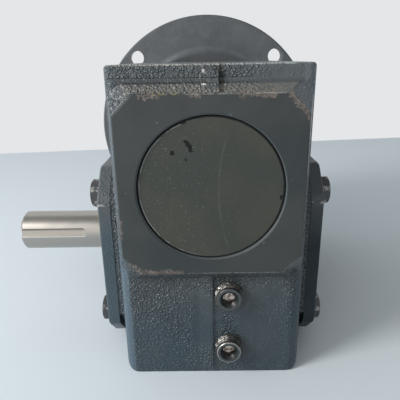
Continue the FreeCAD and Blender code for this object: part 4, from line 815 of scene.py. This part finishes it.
# Steel turned or ground round an axis
def makeTurnedSteel(name, steel, keyway=False):
    look = turnedLook
    material, tree, shader, spot, axes = newMaterial(name, {"Metallic": 1.0})
    along = axes["XYZ".index(steel["axis"])]
    lines = useGroup(tree, "turnedLines", {"Along": along, "Pitch": steel["pitch"]})["Value"]
    dim = tuple(part * steel["stain"] for part in steel["tone"][:3]) + (1.0,)
    marks = times(tree, patchy(tree, spot, *look["marks"]), look["markShare"])
    colour = blendTones(tree, marks, steel["tone"], dim)
    colour = blendTones(tree, times(tree, lines, look["lineShare"]), colour, dim)
    if keyway:
        colour = keywayTones(tree, colour, *axes)
    gloss = (steel["gloss"] + change for change in look["lineGloss"])
    gloss = ease(tree, lines, *look["lineSteps"], *gloss)
    drift = patches(tree, spot, look["patchSize"])
    finishTones(tree, shader, colour, plus(tree, gloss, times(tree, drift, look["driftGloss"])))
    setBump(tree, shader, lines, look["bump"])
    return material


plugSteelLook = {
    "steel": tone(88, 86, 83),
    "oily": tone(50, 49, 47),
    "rust": tone(78, 71, 65),
    "glint": tone(224, 222, 216),
    "rim": tone(88, 92, 94),
    # Inside is painted shade on the socket's walls, and floor a near-white painted highlight on its bare floor
    "inside": tone(30, 33, 33),
    "floor": tone(246, 236, 229),
    "floorDeep": tone(120, 104, 96),
    "patchSize": 3.0,
    "threads": [("y", -68.3, -67.8)],
    "crests": [("radius", 6.05, 6.25)],
    "rimPlace": [("radius", 4.2, 4.35)],
    "brightRim": [("radius", 5.45, 0.12, 0.15), ("z", 32.0, 26.0, 0.05, 0.6)],
    "socket": [("radius", 4.25, 4.1)],
    "socketFloor": [("y", -64.7, -64.5)],
    "rustPatches": ((0.5, 3.0, 0.6), (0.44, 0.62, 0.0, 0.5)),
    "floorPatches": ((0.7, 2.0, 0.6), (0.46, 0.6)),
    # Painted glints on the thread crests, most of them at the upper left
    "glintGrain": (0.8, 3.0, 0.6),
    "glintTowards": (5.5, 8.3, 0.0, 0.14),
    "glintSteps": (0.6, 0.67, 0.0, 0.9),
    "rimShare": 0.8,
    "metal": (0.0, 0.6, 0.8, 0.3),
    "gloss": (0.0, 1.0, 0.34, 0.24),
    "rustDuller": 0.15,
    "skin": (1.7, 3.0, 0.6),
    "bump": 0.09 * mm,
}


def makePlugSteel():
    look = plugSteelLook
    material, tree, shader, spot, (x, y, z) = newMaterial("pipePlugSteel", {"Specular IOR Level": 0.5})
    drift = patches(tree, spot, look["patchSize"])
    plugX, (upper, lower) = reducer["plugX"], reducer["plugHeights"]
    radius = smallest(tree, *(distanceTo(tree, x, z, plugX, height) for height in (upper, lower)))
    here = {"y": y, "z": z, "radius": radius}

    def mask(name):
        return maskOf(tree, here, look[name])

    threads, inside = mask("threads"), mask("socket")
    colour = blendTones(tree, drift, look["oily"], look["steel"])
    rust = times(tree, threads, patchy(tree, spot, *look["rustPatches"]))
    colour = blendTones(tree, rust, colour, look["rust"])
    isUpper = calc(tree, "GREATER_THAN", z, (upper + lower) / 2)
    middle = plus(tree, times(tree, isUpper, upper - lower), lower)
    aside = plus(tree, minus(tree, z, middle, x), plugX)
    bareAndGlint = plus(tree, noise(tree, spot, *look["glintGrain"]), ease(tree, aside, *look["glintTowards"]))
    bareAndGlint = times(tree, threads, mask("crests"), ease(tree, bareAndGlint, *look["glintSteps"]))
    colour = blendTones(tree, bareAndGlint, colour, look["glint"])
    rim = times(tree, mask("rimPlace"), inverse(tree, threads))
    colour = blendTones(tree, times(tree, rim, look["rimShare"]), colour, look["rim"])
    colour = blendTones(tree, times(tree, mask("brightRim"), rim), colour, look["glint"])
    # Painted shade on the socket's walls, and a painted highlight on its floor
    colour = blendTones(tree, inside, colour, look["inside"])
    floor = times(tree, inside, mask("socketFloor"))
    scuffed = blendTones(tree, patchy(tree, spot, *look["floorPatches"]), look["floor"], look["floorDeep"])
    colour = blendTones(tree, floor, colour, scuffed)
    metallic = ease(tree, largest(tree, inside, rust), *look["metal"])
    gloss = plus(tree, ease(tree, drift, *look["gloss"]), times(tree, rust, look["rustDuller"]))
    finishTones(tree, shader, colour, gloss, times(tree, metallic, inverse(tree, floor)))
    setBump(tree, shader, noise(tree, spot, *look["skin"]), look["bump"])
    return material


bronzeLook = {
    "tone": tone(205, 158, 96),
    "shade": tone(176, 124, 70),
    "patchSize": 8.0,
    "skin": (2.2, 3.0, 0.6),
    "gloss": (0.3, 0.7, 0.26, 0.4),
    "bump": 0.03 * mm,
}


def makeBronze():
    look = bronzeLook
    material, tree, shader, spot = newMaterial("gearBronze", {"Metallic": 1.0})[:4]
    colour = blendTones(tree, patches(tree, spot, look["patchSize"]), look["tone"], look["shade"])
    fine = noise(tree, spot, *look["skin"])
    finishTones(tree, shader, colour, ease(tree, fine, *look["gloss"]))
    setBump(tree, shader, fine, look["bump"])
    return material


mattFinishes = {
    "sealRubber": {
        "tone": tone(30, 30, 31),
        "shade": tone(40, 39, 38),
        "gloss": 0.6,
        "grain": 1.4,
        "settings": {"Specular IOR Level": 0.4},
    },
    "gasketSheet": {
        "tone": tone(82, 88, 92),
        "shade": tone(68, 74, 78),
        "gloss": 0.8,
        "grain": 2.0,
        "settings": {"Specular IOR Level": 0.3},
    },
    "blackSteel": {
        "tone": tone(44, 44, 46),
        "shade": tone(58, 57, 56),
        "gloss": 0.4,
        "grain": 2.4,
        "settings": {"Metallic": 0.8},
    },
}
mattLook = {
    "speck": tone(140, 138, 132),
    "flecks": (1.6, 0.12, 0.25),
    "fleckShare": 0.2,
    "patchSize": 6.0,
    "tooth": (3.0, 0.6),
    "toothSteps": (0.3, 0.7),
    "gloss": (-0.05, 0.08),
    "bump": 0.05 * mm,
}


# Rubber, gasket sheet and blackened screws: matt surfaces with a fine tooth
def makeMatt(name, finish):
    look = mattLook
    material, tree, shader, spot = newMaterial(name, finish["settings"])[:4]
    colour = blendTones(tree, patches(tree, spot, look["patchSize"]), finish["tone"], finish["shade"])
    specks = times(tree, flecks(tree, spot, *look["flecks"]), look["fleckShare"])
    colour = blendTones(tree, specks, colour, look["speck"])
    tooth = noise(tree, spot, finish["grain"], *look["tooth"])
    gloss = (finish["gloss"] + change for change in look["gloss"])
    finishTones(tree, shader, colour, ease(tree, tooth, *look["toothSteps"], *gloss))
    setBump(tree, shader, tooth, look["bump"])
    return material


finishes = {"housingPaint": makeHousingPaint(), "borePlugPaint": makeBorePlugPaint()}
finishes.update({"plugSteel": makePlugSteel(), "gearBronze": makeBronze()})
for name, part in partPaints.items():
    finishes[name] = makePartPaint(name, part)
for name, steel in turnedSteels.items():
    finishes[name] = makeTurnedSteel(name, steel, keyway=name == "groundSteel")
for name, finish in mattFinishes.items():
    finishes[name] = makeMatt(name, finish)
print("materials built:", len(finishes))

finishedNodes = {
    "housingPaint": ("housing",),
    "borePlugPaint": ("bore_plug",),
    "leftCoverPaint": ("left_cover",),
    "rightCoverPaint": ("right_cover",),
    "flangePaint": ("motor_flange",),
    "boltPaint": ("left_cover_bolts", "right_cover_bolts"),
    "plugSteel": ("upper_pipe_plug", "lower_pipe_plug"),
    "groundSteel": ("output_shaft", "gear_spacer"),
    "wormSteel": ("worm_shaft", "gear_key"),
    "gearBronze": ("worm_gear",),
    "blackSteel": ("bore_retaining_ring", "worm_retaining_ring", "flange_screws"),
    "gasketSheet": ("left_cover_gasket", "right_cover_gasket", "flange_gasket"),
    "sealRubber": ("output_seal", "input_seal"),
}
nodeFinish = {node: finish for finish, group in finishedNodes.items() for node in group}

# The rest are parts of the bearings, whose steel was turned round the axis that they stand on
for name, item in nodes.items():
    steel = "bearingSteelAcross" if name.startswith(("left", "right")) else "bearingSteelAlong"
    item.data.materials.clear()
    item.data.materials.append(finishes[nodeFinish.get(name, steel)])
print("CAD nodes finished")


# A closed shape turned about +Z from rows of (radius, height). A radius or height may depend on the
# angle, and the first and last rows are poles.
def turnedMesh(name, rows, columns):
    points = [(0.0, 0.0, rows[0][1])]
    faces = []
    for radius, height in rows[1:-1]:
        for column in range(columns):
            angle = 2 * math.pi * column / columns
            reach = radius(angle, height) if callable(radius) else radius
            rise = height(angle) if callable(height) else height
            points.append((reach * math.cos(angle), reach * math.sin(angle), rise))
    points.append((0.0, 0.0, rows[-1][1]))
    last = len(points) - 1
    for column in range(columns):
        following = (column + 1) % columns
        faces.append((0, 1 + following, 1 + column))
        for row in range(len(rows) - 3):
            low = 1 + row * columns
            high = low + columns
            faces.append((low + column, low + following, high + following, high + column))
        top = 1 + (len(rows) - 3) * columns
        faces.append((last, top + column, top + following))
    mesh = bpy.data.meshes.new(name)
    mesh.from_pydata([Vector(point) * mm for point in points], [], faces)
    mesh.validate()
    return mesh


def hexReach(acrossFlats, turn=0.0):
    def reach(angle, height=None):
        inner = (angle + turn) % (math.pi / 3) - math.pi / 6
        return acrossFlats / 2 / math.cos(inner)
    return reach


threadForm = {
    "crest": 1.35,
    "flank": 3.4,
}


# The thread's crest follows a helix, and fades out towards its start and end
def threadReach(root, crest, pitch, start, end, fade):
    def reach(angle, height):
        phase = (height / pitch - angle / (2 * math.pi)) % 1
        tooth = min(1.0, max(0.0, threadForm["crest"] - abs(phase - 0.5) * threadForm["flank"]))
        share = min(1.0, max(0.0, min(height - start, end - height) / fade))
        return root + (crest - root) * tooth * share
    return reach


# Profiles are rows of how far out from the named radius, and how high
pipePlug = {
    "bodyDiameter": 12.7,
    "threadRoot": 11.5,
    "endDiameter": 10.0,
    "pitch": 1.411,
    "length": 11.2,
    "threadStart": 0.3,
    "threadEnd": -1.0,
    "threadFade": 0.5,
    "threadRows": (0.4, -0.9, 84),
    "rimDiameter": 11.1,
    "rimProfile": ((0.12, -0.42), (0.0, -0.12), (-0.1, -0.02), (-0.3, 0.0)),
    "mouthDiameter": 8.3,
    "mouthProfile": ((0.25, 0.0), (0.08, -0.03), (-0.08, -0.14)),
    "socket": 5.5,
    "socketDepth": 4.4,
    "socketRound": 0.12,
    "socketFoot": 0.1,
    "socketPoint": 0.25,
    "socketTurn": math.radians(30),
    "looseTurns": (0.12, 0.06),
    "seed": 3,
    "columns": 96,
}


# Rows of a thread that starts and ends this far from the shank's end and from the head
def threadRows(size, root, crest):
    length = size["length"]
    reach = threadReach(
        root, crest, size["pitch"], size["threadStart"] - length, size["threadEnd"], size["threadFade"]
    )
    start, end, steps = size["threadRows"]
    return [(reach, start - length + (length + end - start) * step / steps) for step in range(steps + 1)]


# The plug's outer face is at height 0 and its body goes down
def makePipePlugMesh():
    size = pipePlug
    hexagon = hexReach(size["socket"], size["socketTurn"])
    mouth = size["mouthDiameter"] / 2
    rim = size["rimDiameter"] / 2
    small = size["socketRound"]
    rows = [(0.0, -size["length"]), (size["endDiameter"] / 2, -size["length"])]
    rows += threadRows(size, size["threadRoot"] / 2, size["bodyDiameter"] / 2)
    rows += [(rim + out, height) for out, height in size["rimProfile"]]
    rows += [(mouth + out, height) for out, height in size["mouthProfile"]]
    rows += [
        (hexagon, lambda angle: hexagon(angle) - mouth - small),
        (hexagon, size["socketFoot"] - size["socketDepth"]),
        (lambda angle, height: hexagon(angle) - small, -size["socketDepth"]),
        (0.0, -size["socketDepth"] - size["socketPoint"]),
    ]
    return turnedMesh("pipePlugShape", rows, size["columns"])


coverBolt = {
    "acrossFlats": 12.7,
    "headHeight": 5.0,
    "crownDiameter": 12.1,
    "crownSlope": 0.577,
    "crownDrop": 0.1,
    "crownProfile": ((0.02, -0.08), (-0.14, 0.0)),
    "crownMiddle": 0.5,
    "washerDiameter": 12.4,
    "washerProfile": ((-0.1, 0.0), (0.0, 0.08), (0.0, 0.4)),
    "headFoot": (0.42, 0.52),
    "footInset": 0.1,
    "endInset": 1.1,
    "diameter": 7.94,
    "threadDepth": 0.6,
    "pitch": 1.411,
    "length": 16.0,
    "threadStart": 0.4,
    "threadEnd": -1.0,
    "threadFade": 0.6,
    "threadRows": (0.5, -0.1, 80),
    "cornerLimit": 7.2,
    "looseTurn": 0.5,
    "columns": 72,
}


# The bolt's head stands on height 0
def makeBoltMesh(size):
    sharp = hexReach(size["acrossFlats"])

    def hexagon(angle, height=None):
        return min(sharp(angle), size["cornerLimit"])

    crown = size["crownDiameter"] / 2
    top = size["headHeight"]
    radius = size["diameter"] / 2
    foot, flats = size["headFoot"]
    rows = [(0.0, -size["length"]), (radius - size["endInset"], -size["length"])]
    rows += threadRows(size, radius - size["threadDepth"], radius)
    rows += [(size["washerDiameter"] / 2 + out, height) for out, height in size["washerProfile"]]
    rows += [
        (lambda angle, height: hexagon(angle) - size["footInset"], foot),
        (hexagon, flats),
        (hexagon, lambda angle: top - size["crownDrop"] - (hexagon(angle) - crown) * size["crownSlope"]),
    ]
    rows += [(crown + out, top + height) for out, height in size["crownProfile"]]
    rows += [(crown * size["crownMiddle"], top), (0.0, top)]
    return turnedMesh("coverBoltShape", rows, size["columns"])


# Copies of one fastener on a grid, each turned a little by chance, set on a plane of the reducer
def makeFastenerTree():
    tree = bpy.data.node_groups.new("fastenerRow", "GeometryNodeTree")
    for label, kind in (
        ("Fastener", "NodeSocketObject"),
        ("Columns", "NodeSocketInt"),
        ("Rows", "NodeSocketInt"),
        ("Spacing", "NodeSocketFloat"),
        ("Loose Turn", "NodeSocketFloat"),
        ("Seed", "NodeSocketInt"),
        ("Facing", "NodeSocketVector"),
        ("Place", "NodeSocketVector"),
        ("Finish", "NodeSocketMaterial"),
    ):
        tree.interface.new_socket(name=label, in_out="INPUT", socket_type=kind)
    tree.interface.new_socket(name="Geometry", in_out="OUTPUT", socket_type="NodeSocketGeometry")
    given = tree.nodes.new("NodeGroupInput").outputs
    reachX = times(tree, given["Spacing"], minus(tree, given["Columns"], 1.0))
    reachY = times(tree, given["Spacing"], minus(tree, given["Rows"], 1.0))
    grid = addNode(
        tree,
        "GeometryNodeMeshGrid",
        None,
        {"Size X": reachX, "Size Y": reachY, "Vertices X": given["Columns"], "Vertices Y": given["Rows"]},
    )
    shape = addNode(tree, "GeometryNodeObjectInfo", None, {"Object": given["Fastener"], "As Instance": True})
    chance = addNode(tree, "FunctionNodeRandomValue", {"data_type": "FLOAT"}, {"Seed": given["Seed"]})
    tree.links.new(times(tree, given["Loose Turn"], -1.0), chance.inputs[2])
    tree.links.new(given["Loose Turn"], chance.inputs[3])
    turn = addNode(tree, "ShaderNodeCombineXYZ", None, {2: chance.outputs[1]})
    copies = addNode(
        tree,
        "GeometryNodeInstanceOnPoints",
        None,
        {"Points": grid.outputs["Mesh"], "Instance": shape.outputs["Geometry"], "Rotation": turn.outputs[0]},
    )
    real = addNode(tree, "GeometryNodeRealizeInstances", None, {"Geometry": copies.outputs["Instances"]})
    moved = addNode(
        tree,
        "GeometryNodeTransform",
        None,
        {"Geometry": real.outputs[0], "Translation": given["Place"], "Rotation": given["Facing"]},
    )
    finished = addNode(
        tree, "GeometryNodeSetMaterial", None, {"Geometry": moved.outputs[0], "Material": given["Finish"]}
    )
    out = tree.nodes.new("NodeGroupOutput")
    tree.links.new(finished.outputs[0], out.inputs["Geometry"])
    return tree


fastenerTree = makeFastenerTree()


def setInput(modifier, label, value):
    for item in modifier.node_group.interface.items_tree:
        if item.item_type == "SOCKET" and item.in_out == "INPUT" and item.name == label:
            modifier[item.identifier] = value


def shapeHolder(mesh):
    holder = bpy.data.objects.new(mesh.name, mesh)
    bpy.context.scene.collection.objects.link(holder)
    return holder


sharpAngle = math.radians(28)


# One piece of copies, made a plain mesh, on the housing in place of a CAD node
def addFasteners(name, holder, replaced, values):
    piece = bpy.data.objects.new(name, bpy.data.meshes.new(name))
    bpy.context.scene.collection.objects.link(piece)
    modifier = piece.modifiers.new("fasteners", "NODES")
    modifier.node_group = fastenerTree
    setInput(modifier, "Fastener", holder)
    for label, value in values.items():
        setInput(modifier, label, value)
    graph = bpy.context.evaluated_depsgraph_get()
    mesh = bpy.data.meshes.new_from_object(
        piece.evaluated_get(graph), preserve_all_data_layers=True, depsgraph=graph
    )
    piece.modifiers.clear()
    piece.data = mesh
    mesh.name = name
    for polygon in mesh.polygons:
        polygon.use_smooth = True
    mesh.set_sharp_from_angle(angle=sharpAngle)
    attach(piece, "housing")
    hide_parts(replaced)
    return piece


plugHolder = shapeHolder(makePipePlugMesh())
for name, height, turn in zip(finishedNodes["plugSteel"], reducer["plugHeights"], pipePlug["looseTurns"]):
    addFasteners(
        name + "_threaded",
        plugHolder,
        name,
        {
            "Columns": 1,
            "Rows": 1,
            "Spacing": 0.0,
            "Loose Turn": turn,
            "Seed": pipePlug["seed"],
            "Facing": (math.radians(90), 0.0, 0.0),
            "Place": (reducer["plugX"] * mm, reducer["plugFace"] * mm, height * mm),
            "Finish": finishes["plugSteel"],
        },
    )

boltHolder = shapeHolder(makeBoltMesh(coverBolt))
for side, sign, seed in (("left", -1, 5), ("right", 1, 11)):
    low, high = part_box(side + "_cover_bolts")
    headTop = low.x if side == "left" else high.x
    addFasteners(
        side + "_cover_bolts_threaded",
        boltHolder,
        side + "_cover_bolts",
        {
            "Columns": 2,
            "Rows": 2,
            "Spacing": reducer["boltSpacing"] * mm,
            "Loose Turn": coverBolt["looseTurn"],
            "Seed": seed,
            "Facing": (0.0, sign * math.radians(90), 0.0),
            "Place": (headTop - sign * coverBolt["headHeight"] * mm, 0.0, reducer["shaftHeight"] * mm),
            "Finish": finishes["boltPaint"],
        },
    )
for holder in (plugHolder, boltHolder):
    bpy.data.objects.remove(holder)
print("fasteners made")


stageLook = {
    "floor": tone(216, 225, 232),
    "floorDeep": tone(214, 222, 228),
    "deepShare": 0.1,
    "patchSize": 400.0,
    "gloss": (0.0, 1.0, 0.6, 0.7),
    "floorSize": 1.0,
    "floorTurn": 7.3,
}


def makeStage():
    look = stageLook
    half = look["floorSize"] / 2
    mesh = bpy.data.meshes.new("floor")
    turn = Matrix.Rotation(math.radians(look["floorTurn"]), 4, "Z")
    corners = ((-half, -half, 0), (half, -half, 0), (half, half, 0), (-half, half, 0))
    mesh.from_pydata([turn @ Vector(corner) for corner in corners], [], [(0, 1, 2, 3)])
    floor = bpy.data.objects.new("floor", mesh)
    bpy.context.scene.collection.objects.link(floor)
    material, tree, shader, spot = newMaterial("floorPaint", {"Specular IOR Level": 0.2})[:4]
    drift = patches(tree, spot, look["patchSize"])
    colour = blendTones(tree, times(tree, drift, look["deepShare"]), look["floor"], look["floorDeep"])
    finishTones(tree, shader, colour, ease(tree, drift, *look["gloss"]))
    mesh.materials.append(material)


makeStage()
print("floor laid")

# The lamps, the room's light from each side, and where each side begins
lightLook = {
    "key": {"place": (-0.72, -0.42, 0.56), "size": 0.34, "power": 6.8, "colour": (1.0, 0.985, 0.96)},
    "rim": {"place": (-0.4, 0.9, 1.0), "size": 1.2, "power": 2.0, "colour": (0.97, 0.99, 1.0)},
    "aim": (0.0, 0.0, 0.09),
    "left": (0.88, 1.04, 1.2, 1.0),
    "right": (0.06, 0.11, 0.15, 1.0),
    "back": (0.3, 0.3, 0.29, 1.0),
    "above": (0.33, 0.33, 0.32, 1.0),
    "window": (1.16, 1.14, 1.1, 1.0),
    "seen": tone(228, 230, 232),
    "rightFade": [("x", -0.7, 0.7)],
    "backFade": [("y", 0.1, 0.7)],
    "aboveFade": [("z", 0.45, 0.95)],
    "windowPlace": [("z", 0.27, 0.25, 0.44), ("y", 0.0, -0.5), ("x", 0.0, 0.6, 1.0, 0.12)],
    "behindPlace": [("y", 0.0, 0.35), ("z", 0.5, 0.15)],
}


def addLamp(name, look):
    lamp = bpy.data.lights.new(name, "AREA")
    lamp.shape = "DISK"
    lamp.size = look["size"]
    lamp.energy = look["power"]
    lamp.color = look["colour"]
    holder = bpy.data.objects.new(name, lamp)
    bpy.context.scene.collection.objects.link(holder)
    holder.location = look["place"]
    aim = Vector(lightLook["aim"]) - Vector(look["place"])
    holder.rotation_euler = aim.to_track_quat("-Z", "Y").to_euler()


for name in ("key", "rim"):
    addLamp(name, lightLook[name])


# The room: light from the left and from a window behind the camera, dimmer elsewhere. The camera, and metal
# that mirrors what lies behind the object, see a pale background.
def makeWorld():
    world = bpy.data.worlds.new("studio")
    bpy.context.scene.world = world
    world.use_nodes = True
    tree = world.node_tree
    tree.nodes.clear()
    look = lightLook
    place = tree.nodes.new("ShaderNodeTexCoord").outputs["Generated"]
    x, y, z = addNode(tree, "ShaderNodeSeparateXYZ", None, {0: place}).outputs
    here = {"x": x, "y": y, "z": z}
    room = blendTones(tree, maskOf(tree, here, look["rightFade"]), look["left"], look["right"])
    for side, light in (("backFade", "back"), ("aboveFade", "above"), ("windowPlace", "window")):
        room = blendTones(tree, maskOf(tree, here, look[side]), room, look[light])
    rays = tree.nodes.new("ShaderNodeLightPath").outputs
    mirrored = times(tree, rays["Is Glossy Ray"], maskOf(tree, here, look["behindPlace"]))
    shown = largest(tree, rays["Is Camera Ray"], rays["Is Transmission Ray"], mirrored)
    colour = blendTones(tree, shown, room, look["seen"])
    glow = addNode(tree, "ShaderNodeBackground", None, {"Color": colour, "Strength": 1.0})
    out = tree.nodes.new("ShaderNodeOutputWorld")
    tree.links.new(glow.outputs[0], out.inputs["Surface"])


makeWorld()
print("lamps and room lit")

# The camera's place in millimetres, its axes and its lens
cameraLook = {
    "place": (-3.13, -230.99, 146.67),
    "right": (0.99986121, 0.00391732, -0.01619284),
    "up": (0.01406895, 0.32203504, 0.94662321),
    "forward": (-0.00892289, 0.94671965, -0.32193523),
    "lens": 37.287,
}


def makeCamera():
    lens = bpy.data.cameras.new("photoCamera")
    lens.sensor_fit = "HORIZONTAL"
    lens.sensor_width = 36.0
    lens.lens = cameraLook["lens"]
    lens.clip_start = 0.01
    camera = bpy.data.objects.new("photoCamera", lens)
    bpy.context.scene.collection.objects.link(camera)
    right, up = Vector(cameraLook["right"]), Vector(cameraLook["up"])
    back = -Vector(cameraLook["forward"])
    turned = Matrix((right, up, back)).transposed().to_4x4()
    camera.matrix_world = Matrix.Translation(Vector(cameraLook["place"]) * mm) @ turned
    bpy.context.scene.camera = camera


makeCamera()
bpy.context.scene.view_settings.view_transform = "Standard"
